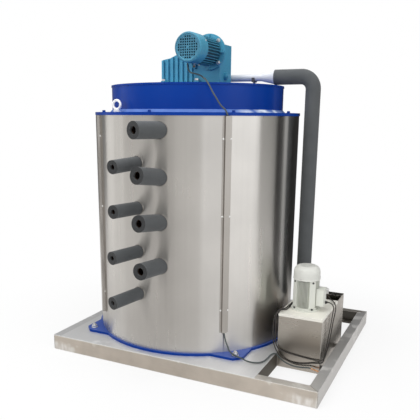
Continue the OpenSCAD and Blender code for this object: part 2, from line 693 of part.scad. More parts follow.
module motor_terminal_box() color(teal) at_skid() translate([motor_x - box_out, -box_to, motor_z]) {
  translate([-box_deep, 0, -box_half]) cube([box_deep, box_to - box_from, 2 * box_half]);
  translate([-box_deep - 6, -4, -box_half - 4]) cube([6, box_to - box_from + 8, 2 * box_half + 8]);
}

module cable_glands() color(black) at_skid() {
  translate(motor_exit) {
    translate([0, 0, gland_l - 8]) cylinder(r = 11, h = 8, $fn = 6);
    cylinder(r = 8, h = gland_l, $fn = fine_fn);
  }
  translate(pump_exit) rotate([0, -90, 0]) {
    translate([0, 0, 6]) cylinder(r = 9, h = 6, $fn = 6);
    cylinder(r = 6.5, h = 12, $fn = fine_fn);
  }
}

module water_tank() color(steel) at_skid() difference() {
  translate([tank_left, tank_front, tank_foot]) cube([tank_w, tank_l, tank_h]);
  translate([tank_left + tank_t, tank_front + tank_t, tank_foot + tank_t])
    cube([tank_w - 2 * tank_t, tank_l - 2 * tank_t, tank_h]);
  translate([tank_left - 1, 0, return_z]) rotate([0, 90, 0])
    cylinder(r = return_r + fit_gap, h = tank_t + 2, $fn = fine_fn);
  translate([valve_x, tank_back + 1, valve_z]) rotate([90, 0, 0])
    cylinder(r = 11 + fit_gap, h = tank_t + 2, $fn = fine_fn);
}

// The lid's sheet, with a tongue for the riser, and its edges turned down outside the tank's walls
module tank_lid() color(steel) at_skid() difference() {
  left = tank_left - lid_edge;
  right = tank_right + lid_edge;
  front = tank_front - lid_edge;
  tongue = riser_y + 60;
  union() {
    translate([0, 0, tank_top]) linear_extrude(lid_t) polygon([
      [left, front], [right, front], [right, lid_back], [riser_x + 60, lid_back], [riser_x + 60, tongue], [left, tongue]
    ]);
    translate([left, front, tank_top - lid_lip]) cube([right - left, lid_edge - 0.5, lid_lip]);
    translate([left, front, tank_top - lid_lip]) cube([lid_edge - 0.5, tongue - front, lid_lip]);
    translate([right - lid_edge + 0.5, front, tank_top - lid_lip]) cube([lid_edge - 0.5, lid_back - front, lid_lip]);
  }
  translate([pump_x, pump_y, 0]) cylinder(r = 34, h = 2 * lid_top, $fn = fine_fn);
  translate([riser_x, riser_y, 0]) cylinder(r = supply_r + fit_gap, h = 2 * lid_top, $fn = fine_fn);
}

// The pump's casing hangs in the tank below its flange
module pump_base() color(pale) at_skid() translate([pump_x, pump_y, 0]) difference() {
  union() {
    translate([0, 0, lid_top]) cylinder(r = pump_flange_r, h = 8, $fn = round_fn);
    translate([0, 0, tank_foot + 60]) cylinder(r = 30, h = lid_top - tank_foot - 58, $fn = fine_fn);
    translate([0, 0, tank_foot + 16]) cylinder(r = 52, h = 50, $fn = round_fn);
  }
  translate([0, 0, tank_foot + 21]) cylinder(r = 47, h = 40, $fn = round_fn);
  translate([0, 0, tank_foot]) cylinder(r = 20, h = 60, $fn = fine_fn);
  translate([0, 0, tank_foot + 50]) cylinder(r = 24, h = lid_top - tank_foot - 52, $fn = fine_fn);
  cylinder(r = pump_shaft_r + run_clear, h = 2 * lid_top, $fn = fine_fn);
  supply_foot(supply_r - 4, 0);
}

// The buried stretch of the supply pipe, from the pump's casing towards the riser
module supply_foot(r, extra) {
  run = [riser_x - pump_x, riser_y - pump_y];
  translate([0, 0, tank_foot + 40]) rotate([0, 0, atan2(run[1], run[0])]) rotate([0, 90, 0])
    translate([0, 0, 40]) cylinder(r = r, h = norm(run) - 40 + extra, $fn = fine_fn);
}

// Fins all round, with four smooth bosses for the long screws and a flat for the terminal box
module pump_motor_frame() color(pale) at_skid() translate([pump_x, pump_y, pump_frame_z]) difference() {
  body_r = pump_r - 14;
  flat = pump_box_x - pump_x;
  boss_w = 36;
  boss_room = asin((boss_w / 2 + 2) / body_r);
  union() {
    cylinder(r = body_r, h = pump_frame_h + 12, $fn = round_fn);
    cylinder(r = pump_r - 4, h = 12, $fn = round_fn);
    for (a = [180 / pump_fins : 360 / pump_fins : 360]) if (beside_boss(a) > boss_room)
      rotate([0, 0, a]) translate([body_r - 4, -0.9, 11]) cube([16.5, 1.8, pump_frame_h - 11]);
    for (a = [0 : 90 : 270]) rotate([0, 0, pump_boss_at + a]) translate([body_r - 8, -boss_w / 2, 11])
      cube([20, boss_w, pump_frame_h - 11]);
    translate([40, 4 - pump_box_l / 2, pump_box_z - pump_frame_z + 3])
      cube([flat - 40, pump_box_l - 8, pump_box_h - 6]);
  }
  translate([flat, -pump_box_l / 2 - 3, pump_box_z - pump_frame_z - 3]) cube([40, pump_box_l + 6, pump_box_h + 12]);
  translate([0, 0, -1]) cylinder(r = pump_shaft_r + run_clear, h = pump_frame_h + 20, $fn = fine_fn);
}

module pump_cowl() color(pale) at_skid() translate([pump_x, pump_y, pump_cowl_z]) difference() {
  top = pump_cowl_h;
  rotate_extrude($fn = round_fn) polygon([
    [pump_r - 3, 0], [pump_r + 2, 0], [pump_r + 2, 3], [pump_r, 6], [pump_r, top - 34], [pump_r - 3, top - 20],
    [pump_r - 11, top - 8], [pump_r - 22, top - 2], [pump_r - 34, top], [0, top], [0, top - 3], [pump_r - 34, top - 3],
    [pump_r - 23, top - 5], [pump_r - 13, top - 11], [pump_r - 6, top - 21], [pump_r - 3, top - 35]
  ]);
  for (k = [[14, 8], [25, 14], [36, 20]]) for (i = [0 : k[1] - 1]) rotate([0, 0, 360 * i / k[1]])
    translate([k[0], 0, top - 8]) cylinder(r = 4, h = 20, $fn = 8);
}

module pump_rotor() color(black) at_skid() translate([pump_x, pump_y, 0]) {
  translate([0, 0, tank_foot + 30]) cylinder(r = pump_shaft_r, h = pump_cowl_z + 50 - tank_foot - 30, $fn = fine_fn);
  translate([0, 0, pump_cowl_z + 16]) cylinder(r = pump_r - 17, h = 4, $fn = round_fn);
  for (i = [0 : 6]) rotate([0, 0, 360 * i / 7]) translate([6, -1.5, pump_cowl_z + 18]) cube([pump_r - 21, 3, 24]);
  translate([0, 0, tank_foot + 30]) cylinder(r = 42, h = 5, $fn = fine_fn);
  for (i = [0 : 5]) rotate([0, 0, 60 * i]) translate([6, -1.5, tank_foot + 33]) cube([35, 3, 20]);
}

module pump_terminal_box() color(pale) at_skid() translate([pump_box_x, pump_y - pump_box_l / 2, pump_box_z]) {
  cube([pump_box_w, pump_box_l, pump_box_h]);
  translate([0, -2, pump_box_h]) cube([pump_box_w + 2, pump_box_l + 4, 5]);
}

module switch_bracket() color(steel) at_skid() difference() {
  translate([tank_left, switch_y - 20, tank_top]) cube([tank_w, 40, 4]);
  translate([switch_x, switch_y, 0]) cylinder(r = 8, h = 2 * tank_top, $fn = fine_fn);
}

module level_switch() color(black) at_skid() translate([switch_x, switch_y, 0]) {
  translate([0, 0, tank_top + 4]) cylinder(r = 17, h = 22, $fn = fine_fn);
  translate([0, 0, tank_top + 26]) cylinder(r1 = 20, r2 = 17, h = 6, $fn = fine_fn);
  translate([0, 0, tank_foot + 70]) cylinder(r = 5, h = tank_h - 60, $fn = fine_fn);
  translate([0, 0, tank_foot + 66]) cylinder(r = 10, h = 5, $fn = fine_fn);
  translate([0, -19, tank_top + 18]) rotate([90, 0, 0]) translate([0, 0, -10]) cylinder(r = 6, h = 10, $fn = fine_fn);
}

module switch_float() color(white) at_skid() translate([switch_x, switch_y, tank_foot + 120]) difference() {
  cylinder(r = 20, h = 40, $fn = fine_fn);
  translate([0, 0, -1]) cylinder(r = 5.4, h = 42, $fn = fine_fn);
}

// The valve's body goes through the tank's rear wall, with a nut outside and a forked end inside
module float_valve() color(copper) at_skid() translate([valve_x, tank_back, valve_z]) difference() {
  union() {
    rotate([-90, 0, 0]) cylinder(r = 17, h = 9, $fn = 6);
    translate([0, -46, 0]) rotate([-90, 0, 0]) cylinder(r = 11, h = 80, $fn = fine_fn);
    translate([0, -tank_t - 8, 0]) rotate([-90, 0, 0]) cylinder(r = 17, h = 8, $fn = fine_fn);
    for (s = [-1, 1]) translate([s * 9 - 3, -62, -10]) cube([6, 30, 20]);
  }
  translate([0, -4, 0]) rotate([-90, 0, 0]) cylinder(r = 7, h = 60, $fn = fine_fn);
  translate([-20, -54, 0]) rotate([0, 90, 0]) cylinder(r = 3 + run_clear, h = 40, $fn = 16);
  translate([-5.6, -70, -20]) cube([11.2, 23, 40]);
}

module float_arm() color(copper) at_skid() translate([valve_x, tank_back - 54, valve_z]) {
  translate([-13, 0, 0]) rotate([0, 90, 0]) cylinder(r = 3, h = 26, $fn = 16);
  translate([-4, -6, -6]) cube([8, 11, 12]);
  rotate([98, 0, 0]) translate([0, 0, 4]) cylinder(r = 3, h = 96, $fn = 16);
  translate([0, -132, -19]) sphere(r = 34, $fn = round_fn);
}

// A bent pipe run: up at the riser, over to the drum and, for the inner pipe, down through the cover
module pipe_run(r, low, end) {
  bend = riser_bend;
  translate([riser_x, riser_y, low]) cylinder(r = r, h = supply_z - bend - low, $fn = fine_fn);
  translate([riser_x - bend, riser_y, supply_z - bend]) rotate([90, 0, 0]) rotate_extrude(angle = 90, $fn = round_fn)
    translate([bend, 0]) circle(r = r, $fn = fine_fn);
  translate([end, riser_y, supply_z]) rotate([0, 90, 0]) cylinder(r = r, h = riser_x - bend - end, $fn = fine_fn);
}

module riser_sleeve() color(foam) at_skid() difference() {
  pipe_run(riser_sleeve_d / 2, lid_top, sleeve_end);
  pipe_run(supply_r + fit_gap, lid_top - 5, sleeve_end - 5);
}

module supply_shape(r, extra) {
  pipe_run(r, tank_foot + 36 - r, supply_end + 36);
  translate([supply_end + 36, riser_y, supply_z - 36]) rotate([90, 0, 0]) rotate([0, 0, 90])
    rotate_extrude(angle = 90, $fn = round_fn) translate([36, 0]) circle(r = r, $fn = fine_fn);
  translate([supply_end, riser_y, pan_floor + 16 - extra])
    cylinder(r = r, h = supply_z - 36 - pan_floor - 16 + extra, $fn = fine_fn);
}

module supply_pipe() color(white) at_skid() difference() {
  union() {
    supply_shape(supply_r, 0);
    difference() {
      translate([pump_x, pump_y, 0]) supply_foot(supply_r, 0);
      translate([pump_x, pump_y, 0]) cylinder(r = 52, h = 200, $fn = round_fn);
    }
    translate([riser_x, riser_y, tank_foot + 14]) cylinder(r = supply_r + 0.6, h = 52, $fn = fine_fn);
    translate([sleeve_end - 78, riser_y, supply_z]) rotate([0, 90, 0])
      cylinder(r1 = supply_r + 1, r2 = riser_sleeve_d / 2 - 3, h = 78, $fn = round_fn);
  }
  supply_shape(supply_r - 4, 1);
  translate([pump_x, pump_y, 0]) supply_foot(supply_r - 4, 0);
}

module pipe_support() color(black) at_skid() translate([drum_x + 320, riser_y, cover_top]) difference() {
  union() {
    cylinder(r = 16, h = 6, $fn = fine_fn);
    cylinder(r = 7, h = supply_up, $fn = fine_fn);
    translate([-8, -supply_r - 4, supply_up - supply_r - 5]) cube([16, supply_d + 8, supply_r + 5]);
  }
  translate([-30, 0, supply_up]) rotate([0, 90, 0]) cylinder(r = supply_r, h = 60, $fn = fine_fn);
}

// A cable along its points, with an even number of sides
module cable(route, size) {
  k = 8;
  n = len(route);
  points = [for (i = [0 : n - 1]) each ring_at(route, i, size / 2, k)];
  sides = [for (i = [0 : k : k * (n - 2)], j = [0 : k - 1]) [i + j, i + (j + 1) % k, i + k + (j + 1) % k, i + k + j]];
  caps = [[for (j = [0 : k - 1]) k - 1 - j], [for (j = [0 : k - 1]) (n - 1) * k + j]];
  polyhedron(points, concat(sides, caps), convexity = 10);
}

module motor_cable() color(black) at_skid() cable(motor_route, cable_d);

module pump_cable() color(black) at_skid() cable(pump_route, lead_d);

module level_cable() color(black) at_skid() cable(level_route, lead_d);

front_beam();
rear_beam();
left_beam();
right_beam();
cross_beam();
deck_plate();
tank_bars();
base_flange();
lug_bolts();
evaporator_drum();
foam_insulation();
front_panel();
right_panel();
rear_panel();
left_panel();
seam_strips();
strip_screws();
top_flange();
flange_bolts();
lifting_eyes();
top_cover();
suction_tubes();
liquid_tubes();
suction_sleeves();
liquid_sleeves();
water_gutter();
return_pipe();
bottom_spider();
lower_bearing();
upper_bearing();
main_shaft();
scraper_carrier();
scraper_roller();
water_pan();
squeegee();
reducer_housing();
drive_bolts();
motor_frame();
motor_cowl();
motor_fan();
motor_terminal_box();
cable_glands();
water_tank();
tank_lid();
pump_base();
pump_motor_frame();
pump_cowl();
pump_rotor();
pump_terminal_box();
switch_bracket();
level_switch();
switch_float();
float_valve();
float_arm();
riser_sleeve();
supply_pipe();
pipe_support();
motor_cable();
pump_cable();
level_cable();
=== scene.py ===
# A drum flake ice machine on its skid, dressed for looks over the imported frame.
import math
import bmesh
import bpy
from mathutils import Matrix, Vector, noise


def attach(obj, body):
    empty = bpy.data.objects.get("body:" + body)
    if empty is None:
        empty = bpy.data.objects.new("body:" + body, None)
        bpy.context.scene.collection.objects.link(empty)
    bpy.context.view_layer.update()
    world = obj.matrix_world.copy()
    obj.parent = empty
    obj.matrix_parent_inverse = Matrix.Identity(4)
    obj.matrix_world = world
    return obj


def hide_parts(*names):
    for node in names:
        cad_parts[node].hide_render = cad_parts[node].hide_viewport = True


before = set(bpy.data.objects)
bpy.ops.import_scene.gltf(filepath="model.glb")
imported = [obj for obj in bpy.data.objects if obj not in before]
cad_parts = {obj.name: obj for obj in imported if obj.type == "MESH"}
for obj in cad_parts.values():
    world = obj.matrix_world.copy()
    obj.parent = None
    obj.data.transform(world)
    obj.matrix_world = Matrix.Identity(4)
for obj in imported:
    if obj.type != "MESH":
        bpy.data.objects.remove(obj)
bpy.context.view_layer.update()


# Skid: channels folded from thick stainless sheet, mitred at the corners and welded into one frame.
# The sheet keeps its mill finish, ground bright in patches and beside the front corner welds; the front
# beam's top is painted paler, a painted highlight.
# The cross beam and the inner side of the rear beam are painted dark, a painted shade for the shadowed bay.
scene = bpy.context.scene
UP = Vector((0.0, 0.0, 1.0))
MID_Y = 0.07
SKID_HALF_X, SKID_HALF_Y, BEAM_HIGH, BEAM_WIDE = 0.8, 0.65, 0.086, 0.054
BAY_LEFT = 0.474
WELD_R, CROSS_WELD_R, WELD_STEP, WELD_RIPPLE = 0.0022, 0.0025, 0.003, 0.5
WELD_IN, WELD_END, CROSS_WELD_FOOT = 0.001, 0.004, 0.008
BEAM_GRAIN = (6.0, 6.0, 300.0)
# The bright colour of ground patches, also used for the painted highlight on the front beam's top.
GROUND_AND_LIT_BRIGHT = (0.97, 0.95, 0.92)


class Wire:
    """One shader socket: arithmetic on it adds Math nodes, and add() puts in any other node."""

    def __init__(self, socket):
        self.socket = socket
        self.tree = socket.id_data

    def add(self, kind, settings=None, sockets=None, out=0):
        made = self.tree.nodes.new(kind)
        for name, value in (settings or {}).items():
            if name == "stops":
                ramp = made.color_ramp.elements
                while len(ramp) < len(value):
                    ramp.new(0.5)
                for stop, (place, grey) in zip(ramp, value):
                    stop.position = place
                    stop.color = (grey, grey, grey, 1.0)
            else:
                setattr(made, name, value)
        for name, value in (sockets or {}).items():
            if isinstance(value, Wire):
                self.tree.links.new(value.socket, made.inputs[name])
            else:
                made.inputs[name].default_value = value
        return Wire(made.outputs[out])

    def maths(self, operation, first, second):
        return self.add("ShaderNodeMath", {"operation": operation}, {0: first, 1: second})

    def __add__(self, other):
        return self.maths("ADD", self, other)

    def __radd__(self, other):
        return self.maths("ADD", other, self)

    def __sub__(self, other):
        return self.maths("SUBTRACT", self, other)

    def __rsub__(self, other):
        return self.maths("SUBTRACT", other, self)

    def __mul__(self, other):
        return self.maths("MULTIPLY", self, other)

    def __rmul__(self, other):
        return self.maths("MULTIPLY", other, self)

    def __abs__(self):
        return self.maths("ABSOLUTE", self, 0.0)

    def vector(self, operation, other, out="Vector"):
        return self.add("ShaderNodeVectorMath", {"operation": operation}, {0: self, 1: other}, out)

    def dot(self, other):
        return self.vector("DOT_PRODUCT", other, "Value")

    def length(self):
        return self.add("ShaderNodeVectorMath", {"operation": "LENGTH"}, {0: self}, "Value")

    def part(self, axis):
        """One of a vector's three numbers: X, Y or Z."""
        return self.add("ShaderNodeSeparateXYZ", {}, {"Vector": self}, axis)

    def rise(self, start, stop, low=0.0, high=1.0, kind="LINEAR"):
        """Goes from low to high while this wire goes from start to stop, and stays level beyond."""
        ends = {"Value": self, "From Min": start, "From Max": stop, "To Min": low, "To Max": high}
        return self.add("ShaderNodeMapRange", {"interpolation_type": kind}, ends)

    def noise(self, scale, detail=3.0):
        return self.add("ShaderNodeTexNoise", {}, {"Vector": self, "Scale": scale, "Detail": detail})

    def stretched(self, x, y, z):
        return self.add("ShaderNodeMapping", {}, {"Vector": self, "Scale": (x, y, z)})

    def ramp(self, *stops):
        """Greys between stops, each a value of this wire and the grey it turns into."""
        return self.add("ShaderNodeValToRGB", {"stops": stops}, {"Fac": self})

    def blend(self, first, second):
        """A colour: first where this wire is 0, second where it is 1."""
        sides = {"Factor": self}
        for number, colour in ((6, first), (7, second)):
            sides[number] = colour if isinstance(colour, Wire) else (*colour, 1.0)
        return self.add("ShaderNodeMix", {"data_type": "RGBA"}, sides, 2)

    def bump(self, strength, depth, normal=None):
        sockets = {"Height": self, "Strength": strength, "Distance": depth}
        if normal:
            sockets["Normal"] = normal
        return self.add("ShaderNodeBump", {}, sockets)


def start_finish(name):
    """A new material, its shader, and the place on the object in metres."""
    finish = bpy.data.materials.new(name)
    finish.use_nodes = True
    nodes = finish.node_tree.nodes
    place = Wire(nodes.new("ShaderNodeTexCoord").outputs["Object"])
    return finish, nodes["Principled BSDF"], place


def feed(shader, sockets):
    """Links wires to a shader's sockets, and sets the sockets that are the same all over."""
    for name, value in sockets.items():
        if isinstance(value, Wire):
            value.tree.links.new(value.socket, shader.inputs[name])
        elif isinstance(value, tuple) and len(value) == 3:
            shader.inputs[name].default_value = (*value, 1.0)
        else:
            shader.inputs[name].default_value = value


def facing(place, way):
    """How far the surface looks one way: 1 straight on, 0 edge on, below 0 away."""
    normal = place.add("ShaderNodeNewGeometry", {}, {}, "Normal")
    return normal.dot(way)


def rounded_over(place, radius):
    """The surface's normal, rounded over sharp edges."""
    return place.add("ShaderNodeBevel", {"samples": 4}, {"Radius": radius})


def along_edges(rounded):
    """A mask that is 1 along sharp edges, from the normal that is rounded over them."""
    return facing(rounded, rounded).ramp((0.80, 1.0), (0.985, 0.0))


def times(colour, share):
    """A colour made darker or lighter, up to white."""
    return tuple(min(1.0, value * share) for value in colour)


def steel_sheet(name, tone, rough, grain, grime=0.12, smear=0.07, patches=0.0, metal=1.0, brushed=0.0,
                fold=0.0015, edge_wear_and_highlight=0.5, marks=None, shade=None, cloud=2.6, lines=0.05, bare=1.3, dents=0.5):
    """Rolled stainless: fine scratches along the grain, cloudy smears, ground patches, and bright edges that
    are partly wear and partly a painted highlight along the rounded folds.

    Shade and marks each make a mask from the place: darker where shade is 1, ground bright or lit by a
    painted highlight where marks is 1.
    """
    finish, shader, place = start_finish(name)
    scratches = place.stretched(*grain).noise(1.0, 4.0)
    smears = place.noise(cloud, 5.0).ramp((0.38, 0.0), (0.66, 1.0))
    ground = place.noise(8.0, 3.0).ramp((0.58, 0.0), (0.66, 1.0)) * patches
    rounded = rounded_over(place, fold)
    edges = along_edges(rounded)
    colour = (smears * 0.6 + scratches * 0.4).blend(tone, times(tone, 1.0 - grime))
    if shade:
        colour = shade(place).blend(colour, times(tone, 0.6))
    # Bright edges: partly wear, partly a painted highlight along the rounded folds.
    colour = (edges * edge_wear_and_highlight + ground).blend(colour, times(tone, bare))
    if marks:
        colour = marks(place).blend(colour, GROUND_AND_LIT_BRIGHT)
    dented = place.noise(3.2, 1.0).bump(dents, 0.0006, rounded)
    feed(shader, {
        "Base Color": colour,
        "Metallic": metal,
        "Roughness": scratches * 0.08 + smears * smear + ground * 0.2 + rough,
        "Normal": scratches.bump(lines, 0.0004, dented),
        "Anisotropic": brushed,
        "Anisotropic Rotation": 0.25,
    })
    return finish


def dress(finish, *names):
    """Gives CAD nodes a finish."""
    for name in names:
        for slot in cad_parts[name].material_slots:
            slot.material = finish


def settle(name, shape, finish, body, stands_for=()):
    """Turns mesh code into a piece at the origin that rides on its body."""
    bmesh.ops.recalc_face_normals(shape, faces=shape.faces)
    mesh = bpy.data.meshes.new(name)
    shape.to_mesh(mesh)
    shape.free()
    mesh.shade_smooth()
    mesh.set_sharp_from_angle(angle=math.radians(38))
    mesh.materials.append(finish)
    made = bpy.data.objects.new(name, mesh)
    scene.collection.objects.link(made)
    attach(made, body)
    if stands_for:
        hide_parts(*stands_for)
    return made


def bead(shape, points, radius, closed=False, sides=8, rough=0.0):
    """A round bead along points. Rough makes its thickness ripple, as a hand-laid weld does."""
    points = [Vector(point) for point in points]
    count = len(points)
    rings = []
    for i, point in enumerate(points):
        before = points[(i - 1) % count] if closed or i else point
        after = points[(i + 1) % count] if closed or i < count - 1 else point
        along = (after - before).normalized()
        steady = UP if abs(along.z) < 0.9 else Vector((0.0, 1.0, 0.0))
        side = along.cross(steady).normalized()
        up = side.cross(along)
        thick = radius * (1.0 + rough * noise.noise(point * 400.0))
        turns = [math.tau * k / sides for k in range(sides)]
        spokes = [math.cos(t) * side + math.sin(t) * up for t in turns]
        rings.append([shape.verts.new(point + thick * spoke) for spoke in spokes])
    following = rings[1:] + rings[:1] if closed else rings[1:]
    for low, high in zip(rings, following):
        for k in range(sides):
            shape.faces.new((low[k], low[(k + 1) % sides], high[(k + 1) % sides], high[k]))
    if not closed:
        shape.faces.new(rings[0])
        shape.faces.new(rings[-1])


def straight(first, last, step):
    """Points in a line from first to last, about a step apart."""
    count = max(2, int((Vector(last) - Vector(first)).length / step))
    return [Vector(first).lerp(Vector(last), i / count) for i in range(count + 1)]


def weld(shape, first, last, radius):
    """A straight hand-laid bead from first to last."""
    bead(shape, straight(first, last, WELD_STEP), radius, rough=WELD_RIPPLE)


skid_sheet = steel_sheet("skid_sheet", (0.62, 0.61, 0.595), rough=0.30, grain=BEAM_GRAIN, patches=0.8,
                         metal=0.6, fold=0.005, edge_wear_and_highlight=0.9)
dress(skid_sheet, "left_beam", "right_beam", "tank_bars")


def corner_grind_and_lit_top(place):
    """Patches ground bright low on the front beam, beside its two corner welds, and a painted highlight that
    makes its top paler.
    """
    ends = (abs(place.part("X")) + place.noise(12.0, 3.0) * 0.12).ramp((0.70, 0.0), (0.77, 1.0))
    low = (place.part("Z") + place.noise(16.0, 3.0) * 0.06).ramp((0.058, 1.0), (0.086, 0.0))
    strokes = place.stretched(60.0, 60.0, 12.0).noise(1.0, 2.0).ramp((0.36, 0.25), (0.66, 0.85))
    # Painted highlight: the faces that look up are painted paler.
    upward = facing(place, (0.0, 0.0, 1.0)).ramp((0.7, 0.0), (0.95, 0.55))
    return ends * low * strokes + upward


front_sheet = steel_sheet("front_sheet", (0.71, 0.64, 0.56), rough=0.33, grain=BEAM_GRAIN, grime=0.22,
                          patches=0.6, metal=0.75, fold=0.008, edge_wear_and_highlight=1.0, marks=corner_grind_and_lit_top, cloud=7.0,
                          bare=1.7)
dress(front_sheet, "front_beam")
# Painted shade: the cross beam gets a dark sheet, as the bay it faces lies in shadow.
bay_shade_sheet = steel_sheet("bay_shade_sheet", (0.17, 0.155, 0.13), rough=0.42, grain=BEAM_GRAIN, grime=0.4,
                         metal=0.8)
dress(bay_shade_sheet, "cross_beam")
rear_sheet, rear_shader, rear_place = start_finish("rear_sheet")
# Painted shade: the rear beam's faces that look into the bay turn dark.
rear_bay_shade = facing(rear_place, (0.0, -1.0, 0.0)).ramp((0.3, 0.0), (0.8, 1.0))
rear_lines = rear_place.stretched(*BEAM_GRAIN).noise(1.0, 4.0)
rear_steel = rear_lines.blend((0.62, 0.58, 0.53), (0.72, 0.68, 0.62))
feed(rear_shader, {
    "Base Color": rear_bay_shade.blend(rear_steel, (0.10, 0.095, 0.085)),
    "Metallic": 0.8,
    "Roughness": rear_lines * 0.1 + 0.32,
    "Normal": rear_lines.bump(0.05, 0.0004),
})
dress(rear_sheet, "rear_beam")
weld_metal, weld_shader, weld_place = start_finish("weld_metal")
weld_ripple = weld_place.noise(240.0, 2.0)
feed(weld_shader, {
    "Base Color": weld_ripple.blend((0.42, 0.40, 0.37), (0.72, 0.70, 0.66)),
    "Metallic": 1.0,
    "Roughness": weld_ripple * 0.2 + 0.30,
    "Normal": weld_ripple.bump(0.4, 0.0008),
})
welds = bmesh.new()
for side_x in (-1, 1):
    for side_y in (-1, 1):
        corner_x = side_x * (SKID_HALF_X - WELD_IN)
        corner_y = MID_Y + side_y * (SKID_HALF_Y - WELD_IN)
        inner_x = side_x * (SKID_HALF_X - BEAM_WIDE)
        inner_y = MID_Y + side_y * (SKID_HALF_Y - BEAM_WIDE)
        weld(welds, (corner_x, corner_y, WELD_END), (corner_x, corner_y, BEAM_HIGH - WELD_END), WELD_R)
        if side_x > 0:
            weld(welds, (corner_x, corner_y, BEAM_HIGH), (inner_x, inner_y, BEAM_HIGH), WELD_R)
for side_y in (-1, 1):
    inner_y = MID_Y + side_y * (SKID_HALF_Y - BEAM_WIDE)
    cross_foot = (BAY_LEFT, inner_y, CROSS_WELD_FOOT)
    weld(welds, cross_foot, (BAY_LEFT, inner_y, BEAM_HIGH - WELD_END), CROSS_WELD_R)
settle("skid_welds", welds, weld_metal, "machine")


# Deck: one pale stainless sheet laid on the beams, with a round hole for the falling ice.
# The drum's lug bolts hold it down; it is scuffed bright in patches and darker on its left half.
# Where along x each darkening starts, and where it is full.
EDGE_DARKENING, HALF_DARKENING = (-0.748, -0.752), (0.1, -0.7)


def deck_darkening(place):
    """Darker along the left edge, and a little darker over the left half of the deck, more so towards the
    left.
    """
    along = place.part("X")
    return along.rise(*EDGE_DARKENING) * 0.45 + along.rise(*HALF_DARKENING) * 0.3


deck_sheet = steel_sheet("deck_sheet", (0.96, 0.96, 0.96), rough=0.34, grain=(300.0, 5.0, 5.0),
                         grime=0.22, patches=0.7, metal=0.6, fold=0.004, edge_wear_and_highlight=1.0, shade=deck_darkening)
dress(deck_sheet, "deck_plate")


# Base flange and its bolts: a thick steel ring with four lugs, painted blue, with its upper faces painted
# paler as a painted highlight.
# Zinc-plated hexagon bolts with washers hold the lugs to the deck.
DRUM_X, BASE_TOP, LUG_AT = -0.17, 0.104, 0.4667


def looking(toward, cover):
    """Makes a function that masks the faces that look one way, thinned in clouds."""
    def mask(place):
        return facing(place, toward).ramp((0.7, 0.0), (0.95, 1.0)) * place.noise(5.0, 4.0) * cover
    return mask


def paint(name, colour, peel, rough, dust=0.10, gloss=0.35, light_and_shade_tone=None, light_and_shade_on=None):
    """Sprayed enamel: a little orange peel, cloudy fade, dusty film, and thin paler wear along edges.

    Where a mask made from the place is given, the coat there turns to the given tone: painted light and
    shade.
    """
    finish, shader, place = start_finish(name)
    clouds = place.noise(5.0, 4.0)
    drips = place.noise(420.0, 1.0)
    film = place.noise(22.0, 5.0).ramp((0.45, 0.0), (0.75, 1.0))
    rounded = rounded_over(place, 0.002)
    worn = along_edges(rounded) * place.noise(90.0, 3.0).ramp((0.52, 0.0), (0.66, 1.0))
    pale = tuple(value * 0.7 + 0.10 for value in colour)
    coat = clouds.blend(times(colour, 0.84), colour)
    if light_and_shade_on:
        coat = light_and_shade_on(place).blend(coat, light_and_shade_tone)
    feed(shader, {
        "Base Color": (worn * 0.6 + film * dust).blend(coat, pale),
        "Roughness": film * 0.14 + worn * 0.2 + rough,
        "Normal": drips.bump(peel, 0.0003, rounded),
        "Specular IOR Level": gloss,
    })
    return finish


def turned(shape, profile, place, axis, sides=32, turn=0.0):
    """A turned shape: (radius, height) points swung round an axis through a place."""
    where = Matrix.Translation(place) @ Vector(axis).to_track_quat("Z", "Y").to_matrix().to_4x4()
    rings = []
    for radius, height in profile:
        turns = [turn + math.tau * i / sides for i in range(sides)] if radius else [0.0]
        points = [Vector((radius * math.cos(t), radius * math.sin(t), height)) for t in turns]
        rings.append([shape.verts.new(where @ point) for point in points])
    for low, high in zip(rings, rings[1:]):
        for i in range(sides):
            after = i + 1
            ring = [low[i % len(low)], low[after % len(low)], high[after % len(high)], high[i % len(high)]]
            corners = list(dict.fromkeys(ring))
            if len(corners) > 2:
                shape.faces.new(corners)


def bolt(shape, place, axis, across, head, washer=0.0, stud=0.0, turn=0.0):
    """A hexagon head with its chamfer, and where asked a washer under it and a stud end above."""
    seat = 0.0
    if washer:
        seat, lip = 0.0025, 0.0006
        disc = [(0, 0), (washer, 0), (washer, seat - lip), (washer - lip, seat), (0, seat)]
        turned(shape, disc, place, axis)
    top = seat + head
    hexagon = [(0, seat), (across, seat), (across, top - across * 0.14), (across * 0.86, top), (0, top)]
    turned(shape, hexagon, place, axis, sides=6, turn=turn)
    if stud:
        radius, groove = across * 0.58, 0.0007
        foot, tip = top - 0.001, top + stud
        ridges = [(radius - groove * (i % 2), top + stud * i / 10) for i in range(10)]
        thread = [(0, foot), (radius, foot), *ridges, (radius * 0.7, tip), (0, tip)]
        turned(shape, thread, place, axis, sides=24)


blue_paint = paint("blue_paint", (0.0, 0.038, 0.28), peel=0.05, rough=0.28, dust=0.02, gloss=0.16)
